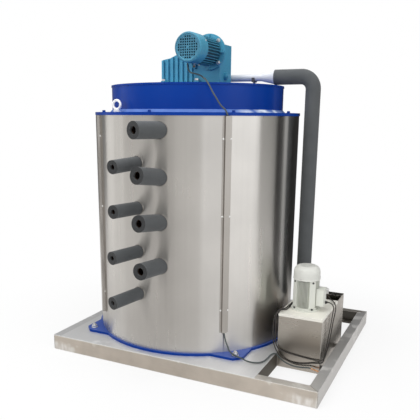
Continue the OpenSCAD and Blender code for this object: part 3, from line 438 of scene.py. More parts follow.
# Painted highlight: the lugs' upper faces turn pale blue in clouds.
lug_paint = paint("lug_paint", (0.0, 0.040, 0.29), peel=0.05, rough=0.28, dust=0.02, gloss=0.16,
                  light_and_shade_tone=(0.24, 0.32, 0.70), light_and_shade_on=looking((0.0, 0.0, 1.0), cover=0.5))
dress(lug_paint, "base_flange")
zinc, zinc_shader, zinc_place = start_finish("zinc_plate")
zinc_spots = zinc_place.noise(130.0, 4.0)
zinc_round = rounded_over(zinc_place, 0.0008)
feed(zinc_shader, {
    "Base Color": zinc_spots.blend((0.72, 0.72, 0.71), (0.93, 0.93, 0.92)),
    "Metallic": 1.0,
    "Roughness": zinc_spots * 0.25 + 0.22,
    "Normal": zinc_spots.bump(0.12, 0.0003, zinc_round),
})
lug_bolts = bmesh.new()
for side_x in (-1, 1):
    for side_y in (-1, 1):
        spot = (DRUM_X + side_x * LUG_AT, MID_Y + side_y * LUG_AT, BASE_TOP)
        twist = 0.4 * side_x + side_y
        bolt(lug_bolts, spot, UP, across=0.016, head=0.0135, washer=0.019, stud=0.008, turn=twist)
settle("lug_bolts_zinc", lug_bolts, zinc, "machine", ["lug_bolts"])


# Evaporator: a thick rolled steel drum whose bare neck, above the flange, is painted blue outside.
# Its bore is ground bright; yellowish foam is blown into the space between it and the jacket.
DRUM_WALL_MID = 0.494


def from_drum(place):
    """The way from the drum's upright axis to a point, level with the point."""
    return place.vector("SUBTRACT", (DRUM_X, MID_Y, 0.0)).vector("MULTIPLY", (1.0, 1.0, 0.0))


def off_axis(place):
    """How far a point lies from the drum's upright axis."""
    return from_drum(place).length()


evaporator, evaporator_shader, evaporator_place = start_finish("evaporator_wall")
from_axis = off_axis(evaporator_place)
outside = from_axis.maths("GREATER_THAN", from_axis, DRUM_WALL_MID)
wall_clouds = evaporator_place.noise(4.0, 4.0)
wall_peel = evaporator_place.noise(420.0, 1.0)
wall_scratch = evaporator_place.stretched(5.0, 5.0, 300.0).noise(1.0, 3.0)
bright_bore = wall_scratch.blend((0.55, 0.56, 0.56), (0.70, 0.71, 0.71))
blue_neck = wall_clouds.blend((0.0, 0.033, 0.25), (0.0, 0.041, 0.29))
feed(evaporator_shader, {
    "Base Color": outside.blend(bright_bore, blue_neck),
    "Metallic": 1.0 - outside,
    "Roughness": (1.0 - outside) * wall_scratch * 0.14 + 0.26,
    "Normal": wall_peel.bump(0.05, 0.0003),
    "Specular IOR Level": 0.16,
})
dress(evaporator, "evaporator_drum")
foam_fill, foam_fill_shader, foam_fill_place = start_finish("foam_fill")
fill_cells = foam_fill_place.noise(180.0, 4.0)
feed(foam_fill_shader, {
    "Base Color": fill_cells.blend((0.55, 0.46, 0.24), (0.74, 0.66, 0.42)),
    "Roughness": fill_cells * 0.1 + 0.85,
    "Normal": fill_cells.bump(0.6, 0.002),
})
dress(foam_fill, "foam_insulation")


# Jacket: four rolled stainless sheets round the foam, their joints under folded hat strips.
# The strips are riveted on; the sheets keep faint upright polishing lines and shallow dents.
JACKET_R, PANEL_HIGH, STRIP_ANGLE, STRIP_HALF, STRIP_THICK = 0.6, 1.267, 40.5, 0.024, 0.002
RIVET_SHARES, RIVET_LIFT, RIVET_IN = (0.13, 0.57, 0.91), 0.1, 0.0045
RIVET_HEAD = [(0, 0), (0.0052, 0), (0.0049, 0.0016), (0.0034, 0.0028), (0, 0.0032)]
jacket_sheet = steel_sheet("jacket_sheet", (0.73, 0.71, 0.68), rough=0.24, grain=(45.0, 45.0, 0.5),
                           grime=0.13, smear=0.02, brushed=1.0, lines=0.012, dents=0.25)
dress(jacket_sheet, "front_panel", "right_panel", "rear_panel", "left_panel")
strip_sheet = steel_sheet("strip_sheet", (0.50, 0.475, 0.445), rough=0.24, grain=(90.0, 90.0, 1.0),
                          brushed=0.4)
dress(strip_sheet, "seam_strips")
rivet_alloy, rivet_shader, rivet_place = start_finish("rivet_alloy")
rivet_skin = rivet_place.noise(300.0, 2.0)
feed(rivet_shader, {
    "Base Color": rivet_skin.blend((0.84, 0.84, 0.83), (0.95, 0.95, 0.94)),
    "Metallic": 0.25,
    "Roughness": rivet_skin * 0.15 + 0.34,
    "Normal": rivet_skin.bump(0.08, 0.0003),
})
rivets = bmesh.new()
for angle in (STRIP_ANGLE, 180 - STRIP_ANGLE, 180 + STRIP_ANGLE, -STRIP_ANGLE):
    spin = math.radians(angle)
    outward = Vector((math.sin(spin), -math.cos(spin), 0.0))
    sideways = Vector((math.cos(spin), math.sin(spin), 0.0))
    for share in RIVET_SHARES:
        high = BASE_TOP + share * PANEL_HIGH + RIVET_LIFT * (RIVET_SHARES[-1] - share)
        middle = Vector((DRUM_X, MID_Y, high)) + outward * (JACKET_R + STRIP_THICK)
        for side in (-1, 1):
            spot = middle + sideways * side * (STRIP_HALF - RIVET_IN)
            turned(rivets, RIVET_HEAD, spot, outward, sides=20)
settle("strip_rivets", rivets, rivet_alloy, "machine", ["strip_screws"])


# Top flange and cover: a blue steel ring round the neck, its eight bolts painted over, and a flat blue cover
# welded onto the neck. Two forged eyes for lifting are screwed into the ring, as pale as the rivets.
FLANGE_TOP, FLANGE_BOLTS_R, COVER_UNDER, NECK_R, FILLET_R = 1.387, 0.562, 1.528, 0.504, 0.530
NECK_SEAM_R, NECK_WELD_R, NECK_WELD_POINTS = NECK_R + 0.001, 0.0025, 360
SCUFF_ANGLE = math.radians(71)
SCUFF_WAY = (math.sin(SCUFF_ANGLE), -math.cos(SCUFF_ANGLE), 0.0)
dress(blue_paint, "top_cover")
dress(rivet_alloy, "lifting_eyes")
ring_paint, ring_shader, ring_place = start_finish("ring_paint")
ring_foot = off_axis(ring_place).ramp((FILLET_R - 0.006, 1.0), (FILLET_R, 0.0))
ring_side = from_drum(ring_place).dot(SCUFF_WAY).ramp((0.470, 0.0), (0.505, 1.0))
ring_scuff = ring_place.noise(16.0, 1.0).ramp((0.36, 0.0), (0.66, 0.9)) * ring_side * ring_foot
# Painted highlight: along the fillet at the neck's foot the blue turns paler, as if catching the light.
ring_painted_highlight = ring_foot * (ring_place.noise(12.0, 3.0) * 0.5 + 0.2)
ring_blue = ring_painted_highlight.blend((0.0, 0.036, 0.27), (0.20, 0.34, 0.74))
feed(ring_shader, {
    "Base Color": ring_scuff.blend(ring_blue, (0.80, 0.87, 0.95)),
    "Roughness": ring_scuff * 0.3 + 0.28,
    "Normal": ring_place.noise(420.0, 1.0).bump(0.05, 0.0003),
    "Specular IOR Level": 0.16,
})
dress(ring_paint, "top_flange")
flange_bolts = bmesh.new()
for i in range(8):
    spin = math.radians(45 * i)
    spot = (DRUM_X + FLANGE_BOLTS_R * math.sin(spin), MID_Y - FLANGE_BOLTS_R * math.cos(spin), FLANGE_TOP)
    bolt(flange_bolts, spot, UP, across=0.009, head=0.0085, washer=0.011, turn=i)
settle("flange_bolts_painted", flange_bolts, blue_paint, "machine", ["flange_bolts"])
neck_weld = bmesh.new()
neck_seam = []
for i in range(NECK_WELD_POINTS):
    spin = math.tau * i / NECK_WELD_POINTS
    seam_x = DRUM_X + NECK_SEAM_R * math.cos(spin)
    seam_y = MID_Y + NECK_SEAM_R * math.sin(spin)
    neck_seam.append((seam_x, seam_y, COVER_UNDER))
bead(neck_weld, neck_seam, NECK_WELD_R, closed=True, rough=0.4)
settle("cover_weld", neck_weld, blue_paint, "machine")


# Refrigerant stubs: copper tubes in thick grey foam sleeves, four large and four small, out of the front.
# The sleeves are cut off square by knife, and a rolled steel collar trims each hole in the jacket.
STUB_YAW, STUB_STEP = 10.0, 0.237
COLLAR_R, COLLAR_GAP, COLLAR_OUT, COLLAR_POINTS = 0.0022, 0.0015, 0.001, 64
# A column's x from the drum's axis, its top stub's height, its sleeves' radius, its stubs' tilts and turns.
STUBS = [
    (0.072, 1.298, 0.044, (0.7, 6.9, 6.2, 2.8), (5, -1, -3, -5)),
    (-0.059, 1.128, 0.035, (-2.7, 0.9, -1.1, -3.8), (-2, -1, 4, 5.5)),
]


def foam_sleeve(name, cut_way):
    """Closed-cell foam: fine pores, cloudy patches, and darker open cells where a knife cut it."""
    finish, shader, place = start_finish(name)
    pores = place.noise(700.0, 2.0)
    patches = place.noise(14.0, 4.0)
    cut = facing(place, cut_way).ramp((0.80, 0.0), (0.92, 1.0))
    skin = patches.blend((0.056, 0.061, 0.065), (0.084, 0.090, 0.094))
    open_cells = pores.blend((0.012, 0.013, 0.014), (0.036, 0.038, 0.040))
    feed(shader, {
        "Base Color": cut.blend(skin, open_cells),
        "Roughness": pores * 0.12 + 0.72,
        "Normal": pores.bump(0.35, 0.0012),
        "Sheen Weight": 0.15,
    })
    return finish


stub_way = (-math.sin(math.radians(STUB_YAW)), -math.cos(math.radians(STUB_YAW)), 0.0)
stub_foam = foam_sleeve("stub_foam", stub_way)
dress(stub_foam, "suction_sleeves", "liquid_sleeves")
# The copper is dark all over: oxide, and a painted shade for the bores seen at the tube ends.
copper, copper_shader, copper_place = start_finish("tube_copper")
copper_age_and_shade = copper_place.noise(40.0, 4.0)
feed(copper_shader, {
    "Base Color": copper_age_and_shade.blend((0.08, 0.045, 0.03), (0.24, 0.13, 0.085)),
    "Metallic": 1.0,
    "Roughness": copper_age_and_shade * 0.25 + 0.34,
    "Normal": copper_place.stretched(60.0, 8.0, 60.0).noise(8.0, 2.0).bump(0.1, 0.0004),
})
dress(copper, "suction_tubes", "liquid_tubes")
collars = bmesh.new()
for root, top, sleeve, tilts, turns in STUBS:
    for i, (tilt, turn) in enumerate(zip(tilts, turns)):
        slope, aim = math.radians(tilt), math.radians(STUB_YAW + turn)
        way = Vector((-math.sin(aim) * math.cos(slope), -math.cos(aim) * math.cos(slope), math.sin(slope)))
        foot = Vector((root, -math.sqrt(JACKET_R ** 2 - root ** 2), top - i * STUB_STEP))
        side = way.cross(UP).normalized()
        over = side.cross(way)
        ring = []
        for k in range(COLLAR_POINTS):
            spin = math.tau * k / COLLAR_POINTS
            point = foot + (sleeve + COLLAR_GAP) * (math.cos(spin) * side + math.sin(spin) * over)
            # How far along the sleeve this line comes out of the jacket.
            inward = way.x * point.x + way.y * point.y
            flat = way.x ** 2 + way.y ** 2
            short = point.x ** 2 + point.y ** 2 - (JACKET_R + COLLAR_OUT) ** 2
            reach = (-inward + math.sqrt(inward ** 2 - flat * short)) / flat
            ring.append(point + way * reach + Vector((DRUM_X, MID_Y, 0.0)))
        bead(collars, ring, COLLAR_R, closed=True)
settle("stub_collars", collars, strip_sheet, "machine")


# Works inside the drum: a spider and bronze bush carry the shaft, whose arms hold a toothed scraper roller.
# A round pan spreads the water on the wall, a rubber blade wipes it, and a gutter takes the surplus away.
inner_steel = steel_sheet("inner_steel", (0.58, 0.59, 0.60), rough=0.28, grain=(160.0, 160.0, 12.0),
                          grime=0.2)
dress(inner_steel, "bottom_spider", "main_shaft", "upper_bearing")
dress(inner_steel, "scraper_carrier", "scraper_roller", "water_pan", "water_gutter")
bronze, bronze_shader, bronze_place = start_finish("bush_bronze")
bronze_age = bronze_place.noise(70.0, 4.0)
feed(bronze_shader, {
    "Base Color": bronze_age.blend((0.34, 0.20, 0.08), (0.66, 0.44, 0.19)),
    "Metallic": 1.0,
    "Roughness": bronze_age * 0.22 + 0.28,
    "Normal": bronze_age.bump(0.1, 0.0004),
})
dress(bronze, "lower_bearing")


def plastic(name, colour, rough, grain=0.15):
    """Moulded plastic or rubber: an even skin with a fine spark-eroded grain and rubbed spots."""
    finish, shader, place = start_finish(name)
    skin = place.noise(900.0, 2.0)
    rub = place.noise(18.0, 4.0)
    feed(shader, {
        "Base Color": rub.blend(times(colour, 0.88), times(colour, 1.08)),
        "Roughness": rub * 0.14 + rough,
        "Normal": skin.bump(grain, 0.0003, rounded_over(place, 0.0012)),
    })
    return finish


rubber = plastic("blade_rubber", (0.018, 0.018, 0.019), rough=0.62)
dress(rubber, "squeegee")


# Gear reducer: a cast housing with ribs over the bearing end and a step up to the motor end, painted teal.
# It has an oil eye, a drain plug and a vent cap, and is bolted to the cover by its feet.
COVER_TOP, MOTOR_X, MOTOR_Z = 1.536, -0.047, 1.716
MOTOR_BOLTS_R, MOTOR_BOLTS_Y = 0.082, MID_Y - 0.115
FOOT_BOLTS_X, FOOT_BOLTS_Y, FOOT_HIGH = (DRUM_X - 0.165, DRUM_X + 0.050), MID_Y - 0.119, 0.03
FRONT = (0, -1, 0)
EYE_FAR, EYE_ANGLE, EYE_Y = 0.118, math.radians(38), MID_Y - 0.106
OIL_EYE = (MOTOR_X - EYE_FAR * math.cos(EYE_ANGLE), EYE_Y, MOTOR_Z - EYE_FAR * math.sin(EYE_ANGLE))
OIL_LINE = (OIL_EYE[2] + 0.001, OIL_EYE[2] + 0.003)
EYE_RING = [
    (0.008, 0), (0.0128, 0), (0.0128, 0.004), (0.012, 0.0055), (0.0095, 0.0055), (0.008, 0.004), (0.008, 0),
]
EYE_DOME = [(0, 0), (0.0083, 0), (0.0083, 0.0025), (0.006, 0.0032), (0, 0.0036)]
DRAIN_PLUG = (DRUM_X + 0.198, MID_Y - 0.023, COVER_TOP + 0.055)
VENT_CAP = (DRUM_X + 0.120, MID_Y + 0.030, COVER_TOP + 0.226)
TEAL = (0.070, 0.335, 0.50)
teal_paint = paint("teal_paint", TEAL, peel=0.16, rough=0.34, dust=0.10)
dress(teal_paint, "reducer_housing", "motor_terminal_box")
drive_bolts = bmesh.new()
for angle in (45, 135, 225, 315):
    spin = math.radians(angle)
    bolt_x = MOTOR_X + MOTOR_BOLTS_R * math.cos(spin)
    bolt_z = MOTOR_Z - MOTOR_BOLTS_R * math.sin(spin)
    spot = (bolt_x, MOTOR_BOLTS_Y, bolt_z)
    bolt(drive_bolts, spot, FRONT, across=0.009, head=0.0075, washer=0.0115, turn=spin)
for x in FOOT_BOLTS_X:
    spot = (x, FOOT_BOLTS_Y, COVER_TOP + FOOT_HIGH)
    bolt(drive_bolts, spot, UP, across=0.011, head=0.0085, washer=0.0135, turn=x)
settle("drive_bolts_zinc", drive_bolts, zinc, "machine", ["drive_bolts"])
oil_fittings = bmesh.new()
turned(oil_fittings, EYE_RING, OIL_EYE, FRONT, sides=40)
bolt(oil_fittings, DRAIN_PLUG, (1, 0, 0), across=0.012, head=0.005, washer=0.017)
bolt(oil_fittings, VENT_CAP, UP, across=0.011, head=0.009, washer=0.014)
settle("oil_fittings", oil_fittings, teal_paint, "machine")
eye_glass, eye_shader, eye_place = start_finish("oil_eye_glass")
above_oil = eye_place.part("Z").rise(*OIL_LINE)
feed(eye_shader, {
    "Base Color": above_oil.blend((0.10, 0.045, 0.01), (0.35, 0.36, 0.34)),
    "Roughness": eye_place.noise(300.0).ramp((0.5, 0.05), (0.8, 0.16)),
    "Coat Weight": 1.0,
})
oil_eye = bmesh.new()
turned(oil_eye, EYE_DOME, OIL_EYE, FRONT, sides=32)
settle("oil_eye", oil_eye, eye_glass, "machine")


# Drive motor: a finned frame in teal on the reducer's flange, with a pressed fan cowl over a plastic fan.
# The terminal box sits on its left side, its lid held by four screws and its gland facing down.
BARREL_R, FIN_TIP_R = 0.0668, 0.0738
COWL_SCREWS_R, COWL_SCREWS_Y = 0.0766, MID_Y - 0.293
COWL_SCREW = [(0, 0), (0.0055, 0), (0.005, 0.002), (0.0025, 0.0034), (0, 0.0036)]
BOX_LID_X, BOX_SCREWS_Y, BOX_SCREWS_Z = MOTOR_X - 0.131, (-0.206, -0.134), (-0.032, 0.032)
BOX_SCREW = [(0, 0), (0.0042, 0), (0.004, 0.0018), (0.002, 0.003), (0, 0.0032)]
# Painted shade: the cowl's faces that look to the front turn dark.
cowl_paint = paint("cowl_paint", (0.074, 0.33, 0.48), peel=0.16, rough=0.34, dust=0.10,
                   light_and_shade_tone=(0.045, 0.165, 0.25), light_and_shade_on=looking((0.0, -1.0, 0.0), cover=2.0))
dress(cowl_paint, "motor_cowl")


def between_fins(place):
    """A mask for painted shade: strong on the frame's barrel and fading out towards the tips of its fins."""
    across = place.vector("SUBTRACT", (MOTOR_X, 0.0, MOTOR_Z)).vector("MULTIPLY", (1.0, 0.0, 1.0))
    return across.length().ramp((BARREL_R, 0.9), (FIN_TIP_R, 0.0))


# Painted shade: the barrel between the fins is painted near black, fading out towards the fin tips.
frame_paint = paint("frame_paint", TEAL, peel=0.16, rough=0.34, dust=0.10,
                    light_and_shade_tone=(0.006, 0.035, 0.060), light_and_shade_on=between_fins)
dress(frame_paint, "motor_frame")
black_plastic = plastic("black_plastic", (0.020, 0.021, 0.023), rough=0.40)
dress(black_plastic, "cable_glands")
fan_plastic = plastic("fan_plastic", (0.022, 0.075, 0.11), rough=0.5)
dress(fan_plastic, "motor_fan")
motor_screws = bmesh.new()
for angle in (30, 150, 270):
    spin = math.radians(angle)
    outward = Vector((math.cos(spin), 0.0, math.sin(spin)))
    spot = Vector((MOTOR_X, COWL_SCREWS_Y, MOTOR_Z)) + outward * COWL_SCREWS_R
    turned(motor_screws, COWL_SCREW, spot, outward, sides=20)
for y in BOX_SCREWS_Y:
    for z in BOX_SCREWS_Z:
        turned(motor_screws, BOX_SCREW, (BOX_LID_X, MID_Y + y, MOTOR_Z + z), (-1, 0, 0), sides=20)
settle("motor_screws", motor_screws, zinc, "machine")


# Water tank: a welded box of thin stainless sheet in the bay, with a lid over its front part.
# The lid's edges are turned down, and it is brighter than the walls.
# A strap at the back carries the level switch.
TANK_LEFT, TANK_RIGHT, TANK_FRONT, TANK_BACK, TANK_TOP = 0.476, 0.716, -0.286, 0.246, 0.316
TANK_WELD_R, TANK_WELD_IN, TANK_WELD_FOOT, TANK_WELD_END = 0.0014, 0.0005, 0.008, TANK_TOP - 0.015


def tank_reflection_band(place):
    """A darker band round the tank, a little below the middle of its height: a painted reflection of the
    surroundings.
    """
    high = place.part("Z") + place.noise(3.0, 2.0) * 0.04
    return high.ramp((0.085, 0.0), (0.125, 1.0)) * high.ramp((0.175, 0.7), (0.205, 0.0))


tank_sheet = steel_sheet("tank_sheet", (0.58, 0.54, 0.485), rough=0.20, grain=(5.0, 5.0, 200.0),
                         grime=0.16, shade=tank_reflection_band)
dress(tank_sheet, "water_tank", "switch_bracket")
lid_sheet = steel_sheet("lid_sheet", (0.92, 0.90, 0.82), rough=0.36, grain=(200.0, 6.0, 6.0), grime=0.10,
                        metal=0.15)
dress(lid_sheet, "tank_lid")
tank_welds = bmesh.new()
for x in (TANK_LEFT + TANK_WELD_IN, TANK_RIGHT - TANK_WELD_IN):
    for y in (TANK_FRONT + TANK_WELD_IN, TANK_BACK - TANK_WELD_IN):
        weld(tank_welds, (x, MID_Y + y, TANK_WELD_FOOT), (x, MID_Y + y, TANK_WELD_END), TANK_WELD_R)
settle("tank_welds", tank_welds, weld_metal, "machine")


# Level switch and float valve: a pale plastic head and stem with a sliding float, hung from the strap,
# and a brass valve through the rear wall whose arm carries a ball.
white_plastic = plastic("white_plastic", (0.78, 0.78, 0.76), rough=0.34, grain=0.05)
dress(white_plastic, "level_switch", "switch_float")
brass, brass_shader, brass_place = start_finish("valve_brass")
brass_age = brass_place.noise(80.0, 4.0)
feed(brass_shader, {
    "Base Color": brass_age.blend((0.48, 0.31, 0.11), (0.80, 0.60, 0.27)),
    "Metallic": 1.0,
    "Roughness": brass_age * 0.22 + 0.20,
    "Normal": brass_age.bump(0.1, 0.0003),
})
dress(brass, "float_valve", "float_arm")


# Circulation pump: an upright finned motor in pale grey with a domed fan cowl, on a flange over the lid.
# Its casing hangs in the tank; its terminal box is at the right, with the gland near its rear corner.
PUMP_X, PUMP_Y, LID_TOP = 0.583, -0.072, 0.319
# Heights of the motor frame's screws, and their distances from the pump's axis.
FRAME_SCREWS = ((0.485, 0.0704), (0.333, 0.0684))
FRAME_SCREW = [(0, 0.003), (0.0028, 0.003), (0.0028, 0.004), (0.005, 0.004), (0.005, 0), (0, 0)]
PUMP_COWL_SCREWS_Z, PUMP_COWL_SCREWS_R = 0.506, 0.0724
PUMP_COWL_SCREW = [(0, 0), (0.005, 0), (0.0046, 0.0018), (0.0024, 0.003), (0, 0.0032)]
PUMP_BOX_X, PUMP_BOX_TOP = PUMP_X + 0.064, LID_TOP + 0.130
PUMP_BOX_SCREWS_X, PUMP_BOX_SCREWS_Y = (0.007, 0.037), (-0.024, 0.024)
PUMP_BOX_SCREW = [(0, 0), (0.0036, 0), (0.0032, 0.0014), (0.0016, 0.0022), (0, 0.0024)]
pump_paint = paint("pump_paint", (0.74, 0.755, 0.69), peel=0.12, rough=0.36, dust=0.08)
dress(pump_paint, "pump_base", "pump_motor_frame", "pump_terminal_box")
pump_cowl_paint = paint("pump_cowl_paint", (0.72, 0.725, 0.68), peel=0.10, rough=0.30, dust=0.06)
dress(pump_cowl_paint, "pump_cowl")
dress(black_plastic, "pump_rotor")
dark_screws = bmesh.new()
for angle in (-45, 45, 135, 225):
    spin = math.radians(angle)
    outward = Vector((math.cos(spin), math.sin(spin), 0.0))
    for high, far in FRAME_SCREWS:
        turned(dark_screws, FRAME_SCREW, Vector((PUMP_X, PUMP_Y, high)) + outward * far, outward, sides=24)
settle("pump_dark_screws", dark_screws, black_plastic, "machine")
pump_screws = bmesh.new()
for angle in (20, 140, 260):
    spin = math.radians(angle)
    outward = Vector((math.cos(spin), math.sin(spin), 0.0))
    spot = Vector((PUMP_X, PUMP_Y, PUMP_COWL_SCREWS_Z)) + outward * PUMP_COWL_SCREWS_R
    turned(pump_screws, PUMP_COWL_SCREW, spot, outward, sides=20)
for x in PUMP_BOX_SCREWS_X:
    for y in PUMP_BOX_SCREWS_Y:
        turned(pump_screws, PUMP_BOX_SCREW, (PUMP_BOX_X + x, PUMP_Y + y, PUMP_BOX_TOP), UP, sides=20)
settle("pump_screws", pump_screws, zinc, "machine")


# Riser and supply pipe: white pipe from the pump up and over into the cover, in a thick grey foam sleeve.
# A small stand on the cover holds its bare end. The pipe that takes surplus water back is the same plastic.
riser_foam = foam_sleeve("riser_foam", (-1.0, 0.0, 0.0))
dress(riser_foam, "riser_sleeve")
pipe_plastic = plastic("pipe_plastic", (0.70, 0.71, 0.74), rough=0.38, grain=0.05)
dress(pipe_plastic, "supply_pipe", "return_pipe")
stand_steel = steel_sheet("stand_steel", (0.22, 0.21, 0.21), rough=0.38, grain=(60.0, 60.0, 60.0))
dress(stand_steel, "pipe_support")


# Cables: round leads in soft plastic, grey from the drive motor, dark from the pump and the level switch.
# The drive's lead runs down inside a front strip and over the deck into the bay. The other two cross the
# tank's front and come up onto its lid. All three end in bare cores. Routes in mm, y from the skid's middle.
MOTOR_ROUTE = [
    (-151, -170, 1658), (-151, -170, 1646), (-147, -173, 1630), (-136, -182, 1614), (-115, -199, 1602),
    (-85, -221, 1596), (-11, -288, 1578), (23, -330, 1565), (49, -372, 1557), (78, -426.1, 1553),
    (97.8, -449.2, 1542), (118, -462.7, 1522), (139.9, -470, 1490), (165.4, -473.8, 1455),
    (190.6, -473.3, 1420), (213.1, -471.4, 1399), (221.3, -468, 1384), (225.6, -463.2, 1359),
    (225.6, -463.2, 1331), (225.6, -463.2, 795.5), (225.6, -463.2, 260), (225.6, -463.2, 226),
    (230.8, -462.7, 194), (250.7, -472.7, 154), (274.7, -486.7, 126),
    (306.7, -494.7, 115), (344.7, -497.7, 108), (380.7, -498.7, 99), (420, -492.7, 97), (448, -472.7, 97),
    (461, -409.8, 97), (466, -350, 98), (479, -325, 94), (496, -312, 72), (516, -305, 53),
    (545, -302, 39), (580, -302, 32), (620, -302, 33), (670, -303, 39), (714, -308, 32)]
PUMP_ROUTE = [
    (701, -125, 366), (711, -125, 366), (722, -125.3, 363), (732, -126.2, 354.5), (737.5, -127.5, 341),
    (736, -129, 312), (733, -137, 269), (730, -153, 215), (728, -180, 165), (728, -214, 123),
    (729, -244, 100), (730, -268, 91), (726.5, -281.5, 88), (716.5, -291.5, 86), (703, -295, 86),
    (676, -292, 86), (640, -291.5, 88), (590, -291.5, 92), (540, -291.5, 98), (508, -292, 105),
    (488, -294, 114), (475, -297, 129), (468, -299, 153), (465, -300, 190), (465, -300, 235),
    (465, -299, 300), (467, -296, 315), (471, -289, 326), (478, -277, 332), (486, -261, 331),
    (492, -244, 327), (497, -224, 324), (500, -194, 323), (499, -142, 323), (503, -100, 323),
    (513, -66, 323), (532, -42, 323), (558, -30, 323)]
LEVEL_ROUTE = [
    (618, 174, 334), (618, 165, 334), (622, 147, 333), (634, 121, 331), (654, 95, 329),
    (677, 66, 326), (701, 28, 327), (716, -3, 326), (726, -22, 319), (731, -38, 304),
    (731.5, -54, 279), (729, -73, 240), (729, -111, 179), (729, -160.4, 126), (729, -213.6, 93),
    (729, -244, 82), (730, -268, 76), (726.5, -281.5, 74), (716.5, -291.5, 73), (703, -295, 71),
    (676, -292, 65), (640, -291.5, 55), (600, -291.5, 48), (560, -291.5, 48), (524, -292.5, 57),
    (498, -296, 74), (479, -301, 98), (465, -305, 128), (457, -307, 165), (453, -306.5, 226),
    (455, -301, 287), (459, -292, 309), (466, -277, 325), (474, -259, 331), (481, -238, 329),
    (486, -210, 324), (488, -168, 323), (490, -114, 323), (495, -74, 323), (508, -42, 323)]
CORE_R, CORE_STEP, CORE_GAP, CORE_FAN, CORE_POINTS = 0.0018, 0.004, 0.0016, 0.00012, 9
BRAID_LONG, BRAID_STEP, BRAID_OUT = 0.040, 0.002, 0.0007
dark_sheath = plastic("dark_sheath", (0.042, 0.038, 0.035), rough=0.72, grain=0.2)
grey_sheath = plastic("grey_sheath", (0.070, 0.085, 0.085), rough=0.66, grain=0.2)
core_copper, core_shader, core_place = start_finish("core_copper")
core_twist = core_place.noise(900.0, 2.0)
feed(core_shader, {
    "Base Color": core_twist.blend((0.62, 0.30, 0.14), (0.90, 0.52, 0.31)),
    "Metallic": 0.6,
    "Roughness": core_twist * 0.2 + 0.3,
    "Normal": core_twist.bump(0.4, 0.0006),
})


def cable(name, route, thick, node, sheath):
    """A lead through its route's points, with copper braid and three stripped cores at its far end."""
    points = [Vector((x / 1000, y / 1000 + MID_Y, z / 1000)) for x, y, z in route]
    curve = bpy.data.curves.new(name, "CURVE")
    curve.dimensions = "3D"
    curve.bevel_depth = thick / 2
    curve.bevel_resolution = 4
    curve.resolution_u = 8
    curve.use_fill_caps = True
    spline = curve.splines.new("BEZIER")
    spline.bezier_points.add(len(points) - 1)
    for knot, point in zip(spline.bezier_points, points):
        knot.co = point
        knot.handle_left_type = knot.handle_right_type = "AUTO"
    curve.materials.append(sheath)
    lead = bpy.data.objects.new(name, curve)
    scene.collection.objects.link(lead)
    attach(lead, "machine")
    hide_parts(node)
    end = points[-1]
    way = (end - points[-2]).normalized()
    side = way.cross(UP).normalized()
    cores = bmesh.new()
    for turn in (-1, 0, 1):
        path = []
        for k in range(CORE_POINTS):
            apart = turn * CORE_GAP + turn * CORE_FAN * k * k
            path.append(end + way * (CORE_STEP * k - CORE_STEP) + side * apart)
        bead(cores, path, CORE_R)
    braid = straight(end - way * BRAID_LONG, end, BRAID_STEP)
    bead(cores, braid, thick / 2 + BRAID_OUT, sides=12, rough=0.06)
    ends = settle(name + "_cores", cores, core_copper, "machine")
    bpy.context.view_layer.update()


cable("motor_lead", MOTOR_ROUTE, 0.008, "motor_cable", grey_sheath)
cable("pump_lead", PUMP_ROUTE, 0.006, "pump_cable", dark_sheath)
cable("level_lead", LEVEL_ROUTE, 0.006, "level_cable", dark_sheath)


# Studio: a pale floor in a white surround under soft lamps, and a ring of cards that only reflections see.
# The cards give the steel its dark edges, its warm middle and its bright right side.
CARD_HIGH, FLOOR_HALF, SURROUND_LIGHT = 5.0, 15.0, 0.55
# A card's name, its first and last azimuth, its distance from the drum's axis, and its light.
CARDS = [
    ("card_far_left", -170, -91, 6.0, (0.22, 0.22, 0.22)),
    ("card_bright_left", -91, -75, 6.0, (0.95, 0.94, 0.92)),
    ("card_left", -75, -58, 6.0, (0.74, 0.73, 0.71)),
    ("card_front", -58, 2, 6.0, (0.50, 0.485, 0.465)),
    ("card_near", 2, 30, 6.0, (0.62, 0.605, 0.585)),
    ("card_window", 54, 94, 6.0, (1.3, 1.3, 1.3)),
    ("card_grey_right", 94, 134, 6.0, (0.32, 0.32, 0.31)),
    ("card_dark_right", 107, 120, 1.7, (0.02, 0.02, 0.02)),
    ("card_pale_back", 120, 133, 1.7, (0.50, 0.50, 0.50)),
    ("card_dim_back", 133, 139, 1.7, (0.15, 0.15, 0.15)),
    ("card_back", 139, 170, 1.7, (0.03, 0.03, 0.03)),
    ("card_far_back", 166, 230, 6.0, (0.30, 0.30, 0.30)),
]


def card(name, start, stop, far, grey):
    """An upright card between two azimuths round the drum's axis, seen in reflections alone."""
    ends = []
    for azimuth in (start, stop):
        spin = math.radians(azimuth)
        ends.append((DRUM_X + far * math.sin(spin), MID_Y - far * math.cos(spin)))
    left, right = ends
    corners = [(*left, 0), (*right, 0), (*right, CARD_HIGH), (*left, CARD_HIGH)]
    mesh = bpy.data.meshes.new(name)
    mesh.from_pydata(corners, [], [(0, 1, 2, 3)])
    made = bpy.data.objects.new(name, mesh)
    scene.collection.objects.link(made)
    made.visible_camera = made.visible_diffuse = made.visible_shadow = made.visible_transmission = False
    finish = bpy.data.materials.new(name)
    finish.use_nodes = True
    shader = finish.node_tree.nodes["Principled BSDF"]
    feed(shader, {
        "Base Color": (0.0, 0.0, 0.0),
        "Roughness": 1.0,
        "Specular IOR Level": 0.0,
        "Emission Color": grey,
        "Emission Strength": 1.0,
    })
    mesh.materials.append(finish)


for sheet in CARDS:
    card(*sheet)

